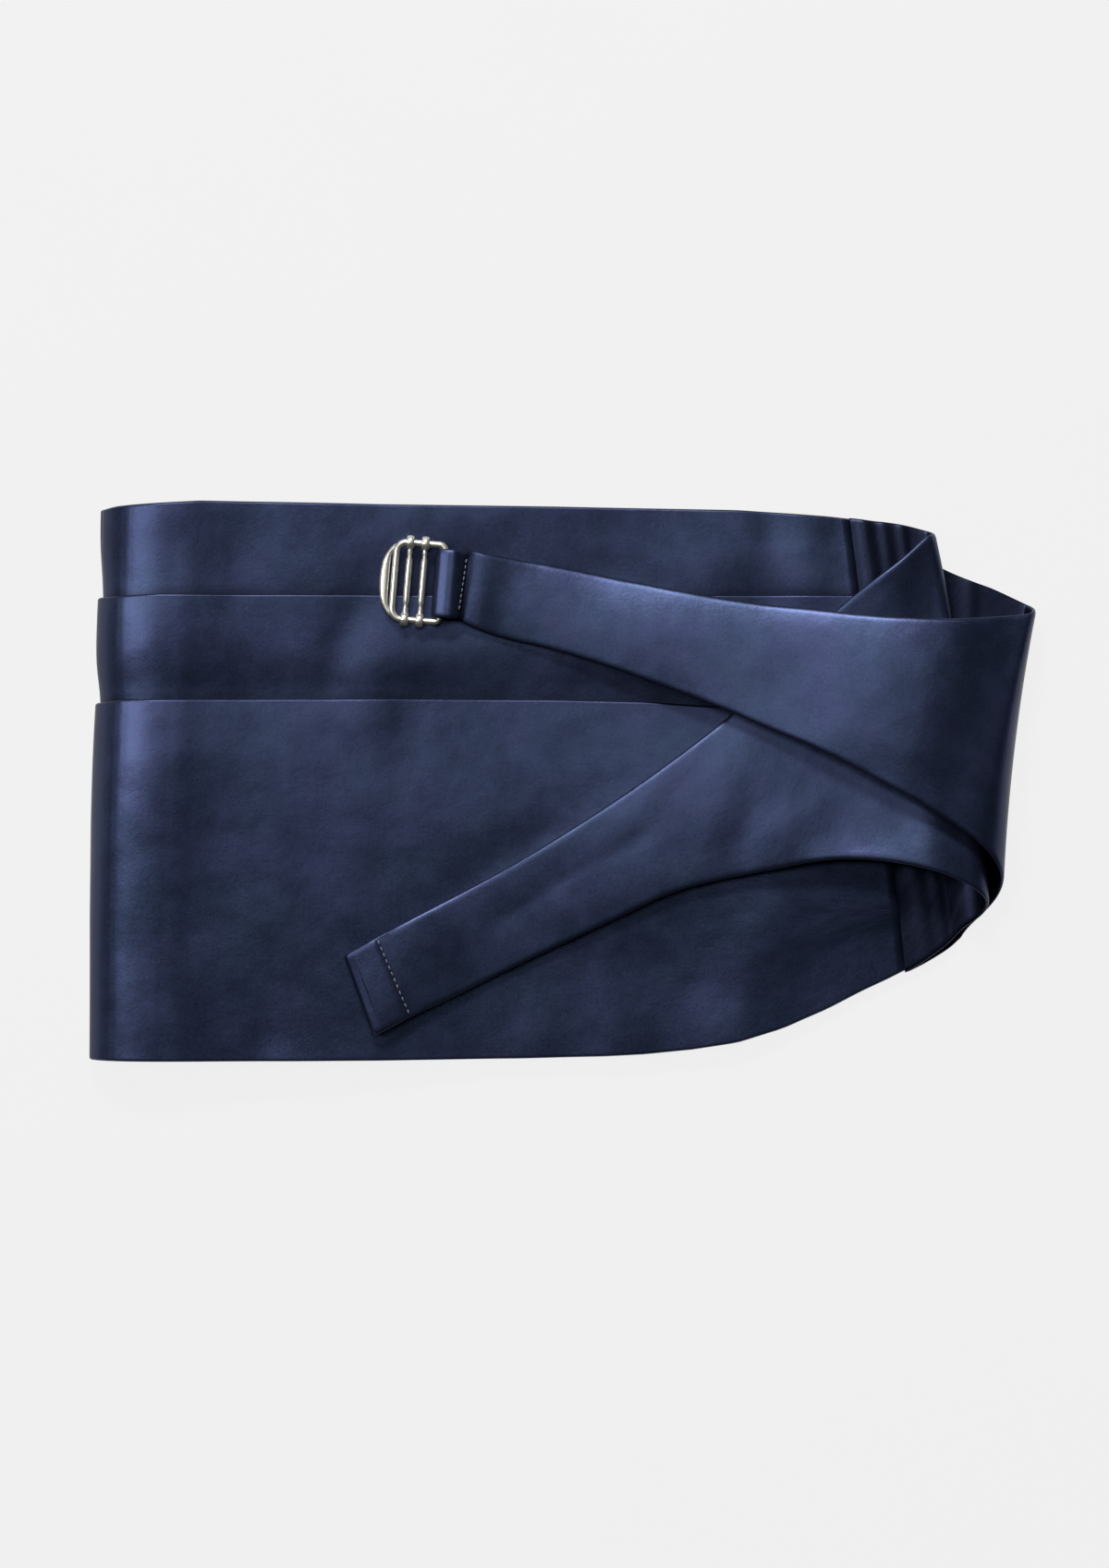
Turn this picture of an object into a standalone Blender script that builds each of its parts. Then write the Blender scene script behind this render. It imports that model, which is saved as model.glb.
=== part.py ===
"""A navy satin cummerbund, folded in half and laid flat, with both straps folded back over its front.

Lengths in the tables are millimetres. x runs along the band, y up its height and z away from the table that
it lies on. The pleated front lies at z = 0 with one half, turns over at the left and comes back above itself.
"""

import math

import bmesh
import bpy
import numpy as np
from mathutils import Vector
from mathutils.geometry import tessellate_polygon

MM = 0.001
WALL = 1.1  # cloth with its interlining
AIR = 0.3  # kept between pieces that touch
LIP = 1.0  # thickness of a pleat's folded edge
STEP = LIP + AIR  # how far a pleat's edge stands above the strip that it covers
SLOT = 7.0  # how deep a pleat is open under its edge
EDGE = 0.4  # rounding of a cut edge
ON_TOP = AIR + WALL / 2  # middle of a strap's wall above what it lies on
TURNED = WALL + AIR  # one layer of cloth more, where a strap's end is turned under
ACROSS = 8  # faces across a strap
BRIDGED = 7.0  # how far above a pleat's edge a strap bridges its step
HEM_FACES = (-0.87, -0.49)  # the way that the plain strap's end points
SEAM_LINE = (68.8, 63.0, 0.1248)  # x of the front's end, the y it is taken at, and how far it leans
FOLD_LINE = (-111.6, 0.0248)  # x of the soft fold at y = 0, and how far it leans
PRESSED_OVER = 12.0  # the pleats go from pressed level to open over this much of the soft fold

NAVY = (0.020, 0.026, 0.060)
SILVER = (0.62, 0.61, 0.57)

# The front's outline along x: its upper and lower edge and its two pleat edges.
UPPER_EDGE = ((-113, 64.6), (-106, 65.6), (-86, 66.8), (-68, 66.6), (-44, 66.2), (-2, 65.8),
              (42, 65.0), (53, 64.3), (64, 63.5), (70, 62.8))
LOWER_EDGE = ((-114, -66.7), (-86, -66.9), (-44, -66.9), (-10, -66.5), (10, -66.0), (20, -65.5),
              (31, -64.4), (42, -62.7), (53, -59.4), (64, -54.7), (73, -50.1), (78, -47.8), (83, -45.3))
FIRST_PLEAT = ((-113, 43.8), (-95, 44.6), (80, 44.6))
SECOND_PLEAT = ((-113, 18.5), (-104, 19.5), (-40, 19.8), (-2, 19.6), (20, 19.1), (38, 17.9),
                (70, 15.5), (80, 14.8))
LINES = {"upper": UPPER_EDGE, "lower": LOWER_EDGE, "first": FIRST_PLEAT, "second": SECOND_PLEAT}

# Round the soft fold: how far a row is from the fold, and how high its outer face is.
FOLD_UNDER = ((190, 0), (183, 0), (175, 0), (167, 0), (159, 0), (151, 0), (143, 0), (135, 0),
              (126, 0), (115, 0), (90, 0), (65, 0), (42, 0), (24, 0))
FOLD_TURN = ((24, 0), (14, 0), (9.5, 0), (5.4, 0.35), (2.6, 1.2), (0.8, 2.6), (0, 4.4), (0.8, 6.1),
             (2.6, 7.4), (5.5, 8.5), (9, 9.8), (13, 11.0), (18, 11.6), (23, 11.3), (28, 10.5),
             (34, 9.6), (41, 8.9), (49, 8.4), (57, 7.8), (66, 7.0), (76, 6.0), (88, 5.0), (102, 4.35))
FOLD_OVER = ((102, 4.35), (115, 4.2), (126, 4.2), (135, 4.2), (143, 4.2), (151, 4.2), (159, 4.2),
             (167, 4.2), (175, 4.2), (183, 4.2), (190, 4.2))
SEAM_AT = 190.0  # a row's distance at the seam, before it is fitted to the slanting seam
FITTED_FROM = 60.0  # rows nearer the fold than this keep their distance
LEFTMOST = 6  # the row of FOLD_TURN where the upper half begins

# The pleated section, from the upper edge down the outer face and back up the inner one. Each row gives the
# line that it follows, the distance above that line, and how far it lies outside the face: on the upper half,
# and on the lower half, whose pleat edges are pressed level with the table.
SECTION = (
    ("upper", 0.0, -WALL / 2, -WALL / 2),
    ("upper", -EDGE, 0.0, 0.0),
    ("upper", -9.0, 0.0, 0.0),
    ("first", 12.0, 0.0, 0.0),
    ("first", 5.0, 0.0, -0.9),
    ("first", 0.0, 0.0, -STEP),
    ("first", -SLOT, 0.0, -STEP),
    ("first", -SLOT, AIR, AIR - STEP),
    ("first", -EDGE, AIR, AIR - STEP),
    ("first", 0.0, AIR + LIP / 2, -LIP / 2),
    ("first", -EDGE, STEP, 0.0),
    ("first", -4.0, 1.5, 0.0),
    ("first", -11.0, 1.7, 0.0),
    ("first", -17.0, 1.4, -0.1),
    ("second", 4.0, 0.5, -0.9),
    ("second", 0.0, 0.0, -STEP),
    ("second", -SLOT, 0.0, -STEP),
    ("second", -SLOT, AIR, AIR - STEP),
    ("second", -EDGE, AIR, AIR - STEP),
    ("second", 0.0, AIR + LIP / 2, -LIP / 2),
    ("second", -EDGE, STEP, 0.0),
    ("second", -5.0, 1.6, 0.0),
    ("second", -14.0, 1.95, 0.0),
    ("second", -28.0, 2.1, 0.0),
    ("second", -45.0, 1.6, 0.0),
    ("lower", 12.0, 0.45, 0.0),
    ("lower", EDGE, 0.0, 0.0),
    ("lower", 0.0, -WALL / 2, -WALL / 2),
    ("lower", EDGE, -WALL, -WALL),
    ("lower", 12.0, 0.45 - WALL, -WALL),
    ("second", -45.0, 1.6 - WALL, -WALL),
    ("second", -28.0, 2.1 - WALL, -WALL),
    ("second", -14.0, 0.8 - WALL, -WALL),
    ("second", -SLOT, -WALL, -WALL - 0.7),
    ("second", 0.0, -WALL, -WALL - STEP),
    ("second", 6.0, -WALL, -WALL - 0.8),
    ("first", -13.0, -WALL, -WALL),
    ("first", -SLOT, -WALL, -WALL - 0.7),
    ("first", 0.0, -WALL, -WALL - STEP),
    ("first", 6.0, -WALL, -WALL - 0.8),
    ("first", 13.0, -WALL, -WALL),
    ("upper", -EDGE, -WALL, -WALL),
)

# The rows of the section that are seen from above, where one half is open.
FACE = tuple(
    (line, above, out)
    for line, above, out, _ in SECTION[: SECTION.index(("lower", 0.0, -WALL / 2, -WALL / 2))]
    if not (line in ("first", "second") and -SLOT <= above <= 0 and out < STEP)
)

# A strap's rows run across it: its upper edge, its lower edge, how many turned-under layers are below it,
# and how far its middle stands above a straight line between its edges.
# Past its fold a strap lies on the front wherever that is higher than the row.
PLAIN_STRAP_OUT = (
    ("seam", 69.3, 62.7, 3.3, 82.7, -45.5, 3.3),
    ("gathers", 74.6, 62.0, 3.2, 87.5, -42.4, 3.1),
    ("gathers", 79.8, 61.4, 3.0, 92.4, -38.7, 2.9),
    ("flat", 83.6, 60.7, 2.8, 94.2, -37.0, 2.7),
)
PLAIN_STRAP_BACK = (
    ("rise", 81.1, 52.7, 10.0, 88.5, -20.9, 14.2, 0, -3.4),
    ("rise", 74.7, 47.9, 10.2, 80.5, -19.2, 13.0, 0, -3.2),
    ("cross", 65.0, 40.1, 8.6, 70.7, -18.1, 11.6, 0, -2.0),
    ("cross", 53.9, 29.1, 7.4, 60.9, -18.6, 10.4, 0, -0.6),
    ("cross", 42.4, 17.1, 6.7, 50.6, -20.7, 9.6, 0, 0.3),
    ("open", 30.3, 7.5, 6.3, 39.0, -23.0, 8.9, 0, 0.6),
    ("open", 18.1, -1.4, 5.8, 27.1, -25.9, 8.4, 0, 0.6),
    ("taper", 3.7, -11.0, 5.6, 13.2, -32.4, 7.9, 0, 0.5),
    ("taper", -10.6, -19.8, 5.6, -0.5, -38.8, 7.4, 0, 0.3),
    ("taper", -25.0, -27.6, 5.6, -15.0, -45.8, 7.0, 0, 0.2),
    ("layer", -36.0, -33.3, 5.6, -26.6, -51.5, 6.6, 1, 0.0),
    ("stitches", -43.7, -37.4, 5.6, -36.2, -55.9, 6.4, 1, 0.0),
    ("hem", -48.1, -39.8, 5.6, -40.8, -58.3, 6.2, 1, 0.0),
    ("end", -50.7, -41.3, 5.6, -43.9, -59.9, 6.0, 1, 0.0),
)
PLAIN_STRAP_UNDER = (
    ("hem", -47.0, -39.4, 5.4, -40.2, -57.8, 5.4, 0, 0),
    ("stitches", -43.0, -37.4, 5.4, -35.9, -55.3, 5.4, 0, 0),
    ("raw", -38.6, -35.2, 5.4, -30.6, -52.6, 5.4, 0, 0),
)
BUCKLE_STRAP_OUT = (
    ("seam", 69.5, 62.8, 0.55, 82.9, -45.6, 0.55),
    ("gathers", 78.2, 58.3, 0.55, 87.7, -43.1, 0.55),
    ("gathers", 87.1, 52.9, 0.55, 92.8, -39.9, 0.55),
    ("gathers", 95.9, 48.7, 0.55, 95.0, -38.0, 0.55),
    ("flat", 104.4, 45.6, 0.55, 96.2, -36.9, 0.55),
)
BUCKLE_STRAP_BACK = (
    ("over", 102.3, 38.7, 11.2, 87.1, -6.0, 16.7, 0, 0.6),
    ("over", 92.9, 38.2, 13.1, 79.2, -1.7, 16.6, 0, 0.8),
    ("over", 83.0, 38.4, 13.4, 70.6, 2.9, 15.7, 0, 0.8),
    ("over", 72.1, 39.1, 11.7, 61.5, 7.6, 14.4, 0, 0.6),
    ("over", 60.0, 40.6, 9.6, 51.0, 12.0, 13.0, 0, 0.5),
    ("down", 46.8, 41.9, 8.0, 39.4, 17.1, 11.4, 0, 0.5),
    ("down", 32.0, 44.3, 7.2, 25.8, 22.3, 10.0, 0, 0.5),
    ("down", 15.0, 47.6, 6.8, 10.4, 27.9, 9.0, 0, 0.4),
    ("taper", -1.8, 51.0, 6.4, -5.5, 32.6, 7.9, 0, 0.3),
    ("taper", -11.0, 52.5, 6.9, -14.6, 34.6, 7.2, 0, 0.2),
    ("layer", -18.2, 53.8, 8.4, -20.8, 36.8, 8.4, 1, 0.0),
    ("stitches", -22.1, 54.7, 9.2, -23.9, 38.3, 9.2, 1, 0.0),
)

# Where the cloth rises in soft ridges past each seam: distances from the seam, and how high they stand.
PLAIN_RIDGES = ((3.3, 0.45), (9.3, 0.40), (13.8, 0.35))
BUCKLE_RIDGES = ((6.0, 0.35), (12.0, 0.40), (20.0, 0.40), (27.5, 0.45), (31.9, 0.40), (35.2, 0.40))
RIDGE_WIDTH = 1.5
RIDGES_END = 5  # rows before the fold over which the ridges run out

# The two strap folds. At the upper and at the lower edge: the turn's middle, its radius, how far it reaches
# to the right and how far along the fold it swings. Then the height that it starts at, how far the fold line
# bows out, and how far the upper face's middle stands above its edges.
PLAIN_TURN = {"upper": (86.8, 58.9, 2.9, 2.0, -0.9), "lower": (95.4, -29.4, 5.0, 6.1, 5.9),
              "start": (2.7, 2.6), "bow": 1.6, "crown": -2.4}
BUCKLE_TURN = {"upper": (110.8, 40.9, 4.4, 2.1, -1.5), "lower": (96.6, -23.9, 7.4, 8.4, 11.7),
               "start": (0.55, 0.55), "bow": -1.2, "crown": 0.4}

# The buckle, about the middle of the bar that its strap is looped round: x to the right, y along the bar.
BAR_AT = (-28.4, 47.0, 10.0)
BUCKLE_TURNED = -4.7  # degrees, seen from above
BUCKLE_TILT = -1.2  # degrees, its free end is the lower
WIRE = 0.8
FRAME_WIDTH = 11.6
RAIL_AT = 9.2
LOOP_HALF = 7.85
SLIDES_AT = (("slide_bar_inner", -4.8), ("slide_bar_outer", -8.4))
SLIDE_WIRE = 0.75
RING_INNER = WIRE + AIR
RING_OUTER = 1.75
RING_HALF = 1.0
RING_EDGE = 0.2
NEAR_CORNERS = 1.5  # radius of the frame's corners in the loop
FAR_CORNERS = 2.4
TAB_OUTER = ((-11.5, 8.2), (-13.3, 7.2), (-14.5, 5.5), (-15.0, 3.2), (-15.1, 0.0))
TAB_INNER = ((-11.5, 6.6), (-12.5, 6.3), (-12.85, 5.5), (-12.85, 3.0), (-12.85, 0.0))
TAB_HALF = 0.5
TAB_EDGE = 0.15


def clear_scene():
    for obj in list(bpy.data.objects):
        bpy.data.objects.remove(obj, do_unlink=True)


def material(name, colour, roughness, metallic):
    made = bpy.data.materials.new(name)
    made.use_nodes = True
    shader = made.node_tree.nodes["Principled BSDF"]
    shader.inputs["Base Color"].default_value = (*colour, 1.0)
    shader.inputs["Roughness"].default_value = roughness
    shader.inputs["Metallic"].default_value = metallic
    return made


def at(table, x):
    """The height of a line at x."""
    return float(np.interp(x, [row[0] for row in table], [row[1] for row in table]))


def smooth(share):
    share = min(max(share, 0.0), 1.0)
    return share * share * (3 - 2 * share)


def curve_through(points, parts):
    """Points on a smooth line through these, with this many parts between each two."""
    points = np.array(points, float)
    gaps = np.linalg.norm(np.diff(points, axis=0), axis=1)
    slopes = np.diff(points, axis=0) / gaps[:, None]
    tangents = np.empty_like(points)
    tangents[0] = slopes[0]
    tangents[-1] = slopes[-1]
    weight = (gaps[:-1] / (gaps[:-1] + gaps[1:]))[:, None]
    tangents[1:-1] = slopes[:-1] * (1 - weight) + slopes[1:] * weight
    made = [points[0]]
    for i, gap in enumerate(gaps):
        for k in range(1, parts + 1):
            t = k / parts
            left = (2 * t**3 - 3 * t**2 + 1) * points[i] + (t**3 - 2 * t**2 + t) * gap * tangents[i]
            right = (3 * t**2 - 2 * t**3) * points[i + 1] + (t**3 - t**2) * gap * tangents[i + 1]
            made.append(left + right)
    return np.array(made)


def mesh_object(name, points, faces, paint):
    """A closed body of these points in millimetres, its faces outwards."""
    mesh = bpy.data.meshes.new(name)
    mesh.from_pydata([tuple(np.array(p) * MM) for p in points], [], faces)
    body = bmesh.new()
    body.from_mesh(mesh)
    bmesh.ops.recalc_face_normals(body, faces=body.faces)
    bmesh.ops.triangulate(body, faces=body.faces)
    body.to_mesh(mesh)
    body.free()
    mesh.materials.append(paint)
    mesh.shade_smooth()
    obj = bpy.data.objects.new(name, mesh)
    bpy.context.scene.collection.objects.link(obj)
    return obj


def skinned(loops, ring=False):
    """Points and faces of a skin over closed loops of as many points; ring joins the last to the first."""
    count = len(loops[0])
    points = [p for loop in loops for p in loop]
    faces = []
    for i in range(len(loops) if ring else len(loops) - 1):
        here = i * count
        there = (i + 1) % len(loops) * count
        for j in range(count):
            k = (j + 1) % count
            faces.append((here + j, here + k, there + k, there + j))
    return points, faces


def seam_x(y):
    """Where the front ends and a strap begins."""
    x, taken_at, lean = SEAM_LINE
    return x + (taken_at - y) * lean


def fold_x(y):
    """The left end of the folded front."""
    return FOLD_LINE[0] + FOLD_LINE[1] * y


def row_x(distance, y):
    """x of a row of the front at height y."""
    if distance <= FITTED_FROM:
        return fold_x(y) + distance
    share = (distance - FITTED_FROM) / (SEAM_AT - FITTED_FROM)
    return fold_x(y) + FITTED_FROM + share * (seam_x(y) - fold_x(y) - FITTED_FROM)


def front_rows():
    """Distance, height, outward direction and share of the lower half, for each row of the front."""
    turn = curve_through(FOLD_TURN, 2)
    turn[:, 1] = np.maximum(turn[:, 1], 0)
    line = np.vstack([FOLD_UNDER[:-1], turn, FOLD_OVER[1:]])
    run = np.gradient(line, axis=0)
    run[0] = (-1, 0)
    run[-1] = (1, 0)
    turned = np.argmin(line[:, 0])
    rows = []
    for i, (distance, height) in enumerate(line):
        along = run[i] / np.linalg.norm(run[i])
        beyond = distance if i < turned else -distance
        rows.append((distance, height, -along[1], along[0], smooth(beyond / PRESSED_OVER + 0.5)))
    return rows


def front_panel(paint):
    loops = []
    for distance, height, out_x, out_z, under in front_rows():
        loop = []
        for line, above, on_top, below in SECTION:
            y = at(LINES[line], row_x(distance, at(LINES[line], row_x(distance, 0)))) + above
            out = on_top + (below - on_top) * under
            loop.append((row_x(distance, y) + out_x * out, y, height + out_z * out))
        loops.append(loop)
    points, faces = skinned(loops)
    for loop, first in ((loops[0], 0), (loops[-1], (len(loops) - 1) * len(SECTION))):
        flat = [Vector((p[1], p[2], 0)) for p in loop]
        faces += [tuple(first + i for i in corner) for corner in tessellate_polygon([flat])]
    return mesh_object("front_panel", points, faces, paint)


def front_height(x, y):
    """The face that a strap lies on, with the pleats' steps softened as a strap bridges them."""
    if x > seam_x(y):
        return 0.0
    distance = x - fold_x(y)
    if distance > FITTED_FROM:
        share = (distance - FITTED_FROM) / (seam_x(y) - fold_x(y) - FITTED_FROM)
        distance = FITTED_FROM + share * (SEAM_AT - FITTED_FROM)
    face = sorted((at(LINES[line], x) + above, out) for line, above, out in FACE)
    high = at(face, y)
    for line in ("first", "second"):
        above = y - at(LINES[line], x)
        if above > 0:
            high = max(high, STEP * (1 - smooth(above / BRIDGED)))
    return at(FOLD_TURN[LEFTMOST:] + FOLD_OVER[1:], distance) + high


def turn_rows(turn, count=13):
    """The rows of a strap's fold, from its lower face over to its upper one."""
    rows = []
    for k in range(count):
        share = 2 * k / (count - 1) - 1
        angle = share * math.pi / 2
        row = []
        for edge, start in zip(("upper", "lower"), turn["start"]):
            x, y, radius, reach, swing = turn[edge]
            row += [x + reach * math.cos(angle), y + swing * share, start + radius * (1 + math.sin(angle))]
        rows.append((*row, turn["bow"] * math.cos(angle), 0, turn["crown"] * smooth(share)))
    return rows


def end_rows(upper, lower, count=5):
    """The rows round the end of a strap that is turned under: from the upper layer to the lower one."""
    rows = []
    out = np.array(HEM_FACES) * TURNED / 2
    for k in range(1, count):
        angle = math.pi * k / count
        push = out * math.sin(angle)
        layers = (1 + math.cos(angle)) / 2
        rows.append((*(upper + push), 0, *(lower + push), 0, 0, layers, 0))
    return rows


def buckle_place(x, y, z=0.0):
    """A point given about the looped bar, in the garment's own lengths."""
    angle = math.radians(BUCKLE_TURNED)
    along = (math.cos(angle), math.sin(angle))
    return (BAR_AT[0] + x * along[0] - y * along[1], BAR_AT[1] + x * along[1] + y * along[0], BAR_AT[2] + z)


def loop_rows():
    """The buckle strap's end: over the bar, round it and back under itself."""
    radius = WIRE + AIR + WALL / 2
    path = [(3.3, 1.15), (1.6, radius - 0.2)]
    path += [(-radius * math.sin(t), radius * math.cos(t)) for t in np.linspace(0, math.pi, 7)]
    path += [(2.4, -radius - 0.1), (5.4, -2.4), (8.4, -3.1)]
    rows = []
    for x, z in path:
        upper = buckle_place(x, LOOP_HALF, z)
        lower = buckle_place(x, -LOOP_HALF, z)
        rows.append((*upper, *lower, 0, 0, 0))
    return rows


def unlabelled(rows):
    """Table rows without their labels: both edges, no bow, the layers below, and the crown."""
    return [(*row[1:7], 0.0, *(row[7:] if len(row) > 8 else (0, 0))) for row in rows]


def strap_middle(rows, ridges, folds_from, rests_from):
    """The middle of a strap's wall: a grid of points, with ridges past its seam."""
    grid = []
    for i, row in enumerate(rows):
        upper, lower, bow, layers, crown = row[:3], row[3:6], row[6], row[7], row[8]
        full = min(max((folds_from - i) / RIDGES_END, 0), 1)
        line = []
        for k in range(ACROSS + 1):
            share = k / ACROSS
            point = upper * (1 - share) + lower * share
            point[0] += 4 * share * (1 - share) * bow
            point[2] += 4 * share * (1 - share) * crown
            past = point[0] - seam_x(point[1])
            if i >= rests_from:
                rest = front_height(point[0], point[1]) + ON_TOP + TURNED * layers
                point[2] = max(point[2], rest)
            else:
                swell = [high * math.exp(-(((past - place) / RIDGE_WIDTH) ** 2)) for place, high in ridges]
                point[2] += sum(swell) * full
            line.append(point)
        grid.append(line)
    return np.array(grid)


def walled(middle):
    """Closed loops round a wall that is centred on this grid, with rounded edges."""
    along = np.gradient(middle, axis=0)
    across = np.gradient(middle, axis=1)
    out = np.cross(along, across)
    out /= np.linalg.norm(out, axis=2, keepdims=True)
    edge = across / np.linalg.norm(across, axis=2, keepdims=True)
    loops = []
    for row, normal, side in zip(middle, out, edge):
        face = row + normal * WALL / 2
        back = row - normal * WALL / 2
        nose = row[-1] + side[-1] * EDGE
        heel = row[0] - side[0] * EDGE
        loops.append(np.vstack([face, [nose], back[::-1], [heel]]))
    return loops


def strap(name, stretches, ridges, paint):
    """A strap of three stretches: out from its seam, round its fold, and back over the front."""
    out, turn, back = stretches
    rows = np.vstack(stretches)
    loops = walled(strap_middle(rows, ridges, len(out), len(out) + len(turn)))
    points, faces = skinned(loops)
    last = (len(loops) - 1) * len(loops[0])
    count = ACROSS + 1
    for first in (0, last):
        back = first + 2 * count
        for k in range(ACROSS):
            faces.append((first + k, first + k + 1, back - k - 1, back - k))
        faces.append((first + ACROSS, first + count, first + count + 1))
        faces.append((first, back, back + 1))
    return mesh_object(name, points, faces, paint)


def plain_strap(paint):
    out = curve_through(unlabelled(PLAIN_STRAP_OUT), 9)
    turn = turn_rows(PLAIN_TURN)
    hem = PLAIN_STRAP_BACK[-1]
    back = curve_through([turn[-1], *unlabelled(PLAIN_STRAP_BACK)], 4)
    round_end = end_rows(np.array(hem[1:3]), np.array(hem[4:6]))
    under = curve_through(unlabelled(PLAIN_STRAP_UNDER), 2)
    return strap("plain_strap", (out, turn, np.vstack([back[1:], round_end, under])), PLAIN_RIDGES, paint)


def buckle_strap(paint):
    out = curve_through(unlabelled(BUCKLE_STRAP_OUT), 8)
    turn = turn_rows(BUCKLE_TURN)
    loop = loop_rows()
    back = curve_through([turn[-1], *unlabelled(BUCKLE_STRAP_BACK), *loop[:2]], 4)
    return strap("buckle_strap", (out, turn, np.vstack([back[1:], loop[2:]])), BUCKLE_RIDGES, paint)


def tube(name, path, radius, sides, paint):
    """A closed wire along a flat closed path."""
    path = np.array(path, float)
    run = np.roll(path, -1, axis=0) - np.roll(path, 1, axis=0)
    run /= np.linalg.norm(run, axis=1, keepdims=True)
    up = np.array((0.0, 0.0, 1.0))
    side = np.cross(up, run)
    loops = []
    for point, across in zip(path, side):
        turns = [2 * math.pi * k / sides for k in range(sides)]
        loops.append([point + radius * (math.cos(t) * across + math.sin(t) * up) for t in turns])
    points, faces = skinned(loops, ring=True)
    return mesh_object(name, points, faces, paint)


def corner(x, y, radius, start, count=5):
    """A quarter of a circle, from this angle on."""
    angles = [math.radians(start + 90 * k / count) for k in range(count + 1)]
    return [(x + radius * math.cos(a), y + radius * math.sin(a), 0.0) for a in angles]


def frame_path():
    near, far = NEAR_CORNERS, FAR_CORNERS
    path = corner(-near, RAIL_AT - near, near, 0)
    path += corner(far - FRAME_WIDTH, RAIL_AT - far, far, 90)
    path += corner(far - FRAME_WIDTH, far - RAIL_AT, far, 180)
    path += corner(-near, near - RAIL_AT, near, 270)
    return path


def tab_plate(paint):
    """The flat crescent that a finger pushes, open beside the frame's far bar."""
    outer = curve_through(list(TAB_OUTER) + [(x, -y) for x, y in reversed(TAB_OUTER[:-1])], 2)
    inner = curve_through(list(TAB_INNER) + [(x, -y) for x, y in reversed(TAB_INNER[:-1])], 2)
    round_it = np.vstack([outer, inner[::-1]])
    levels = (-TAB_HALF, TAB_HALF)
    points = [(x, y, z) for z in levels for x, y in round_it]
    count = len(round_it)
    faces = [(j, (j + 1) % count, count + (j + 1) % count, count + j) for j in range(count)]
    half = len(outer)
    for first in (0, count):
        for j in range(half - 1):
            faces.append((first + j, first + j + 1, first + count - 2 - j, first + count - 1 - j))
    plate = mesh_object("buckle_tab_shape", points, faces, paint)
    rounding = plate.modifiers.new("rounding", "BEVEL")
    rounding.width = TAB_EDGE * MM
    rounding.segments = 1
    rounding.limit_method = "ANGLE"
    rounding.angle_limit = math.radians(50)
    return plate


def join_to(obj, others):
    """One body of these, by Boolean union. The others stay as hidden shapes."""
    for other in others:
        other.hide_render = True
        other.display_type = "WIRE"
        union = obj.modifiers.new(other.name, "BOOLEAN")
        union.operation = "UNION"
        union.solver = "EXACT"
        union.object = other


def rod(name, x, half, radius, sides, paint):
    """A straight bar along y, with flat ends."""
    turns = [2 * math.pi * (k + 0.5) / sides for k in range(sides)]
    loops = [[(x + radius * math.cos(t), y, radius * math.sin(t)) for t in turns] for y in (-half, half)]
    points, faces = skinned(loops)
    faces += [tuple(range(sides)), tuple(range(sides, 2 * sides))]
    return mesh_object(name, points, faces, paint)


def collar(name, x, y, sides, paint):
    """A ring round a rail, which the bar's end is bent into."""
    loops = []
    for k in range(sides):
        t = 2 * math.pi * k / sides
        across = (math.cos(t), math.sin(t))
        outline = ((-RING_HALF, RING_INNER), (RING_HALF, RING_INNER),
                   (RING_HALF, RING_OUTER - RING_EDGE), (RING_HALF - RING_EDGE, RING_OUTER),
                   (RING_EDGE - RING_HALF, RING_OUTER), (-RING_HALF, RING_OUTER - RING_EDGE))
        loops.append([(x + dx, y + r * across[0], r * across[1]) for dx, r in outline])
    points, faces = skinned(loops, ring=True)
    return mesh_object(name, points, faces, paint)


def slide_bar(name, x, paint):
    half = RAIL_AT - (RING_INNER + RING_OUTER) / 2
    bar = rod(name, x, half, SLIDE_WIRE, 12, paint)
    ends = (("top", RAIL_AT), ("low", -RAIL_AT))
    rings = [collar(f"{name}_ring_{side}", x, y, 18, paint) for side, y in ends]
    join_to(bar, rings)
    return [bar, *rings]


def buckle(paint):
    axis = bpy.data.objects.new("buckle_axis", None)
    bpy.context.scene.collection.objects.link(axis)
    axis.location = Vector(BAR_AT) * MM
    axis.rotation_mode = "ZYX"
    axis.rotation_euler = (0.0, math.radians(BUCKLE_TILT), math.radians(BUCKLE_TURNED))
    frame = tube("buckle_frame", frame_path(), WIRE, 10, paint)
    tab = tab_plate(paint)
    join_to(frame, [tab])
    pieces = [frame, tab]
    for name, x in SLIDES_AT:
        pieces += slide_bar(name, x, paint)
    for piece in pieces:
        piece.parent = axis
    return axis


def build():
    clear_scene()
    satin = material("navy_satin", NAVY, 0.42, 0.0)
    strap_satin = material("navy_satin_straps", NAVY, 0.42, 0.0)
    metal = material("silver_metal", SILVER, 0.25, 1.0)
    front_panel(satin)
    plain_strap(strap_satin)
    buckle_strap(strap_satin)
    buckle(metal)


build()
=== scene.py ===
"""The looks of the navy satin cummerbund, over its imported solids: cloth, thread, wire, floor and light.

Lengths in the tables are millimetres, in the frame of the solids: x along the band, y up its height and z
away from the table that it lies on. The cloth follows the same tables as the solids, with finer rows.
"""

import math

import bmesh
import bpy
import numpy as np
from mathutils import Matrix, Vector, noise
from mathutils.geometry import tessellate_polygon


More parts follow.
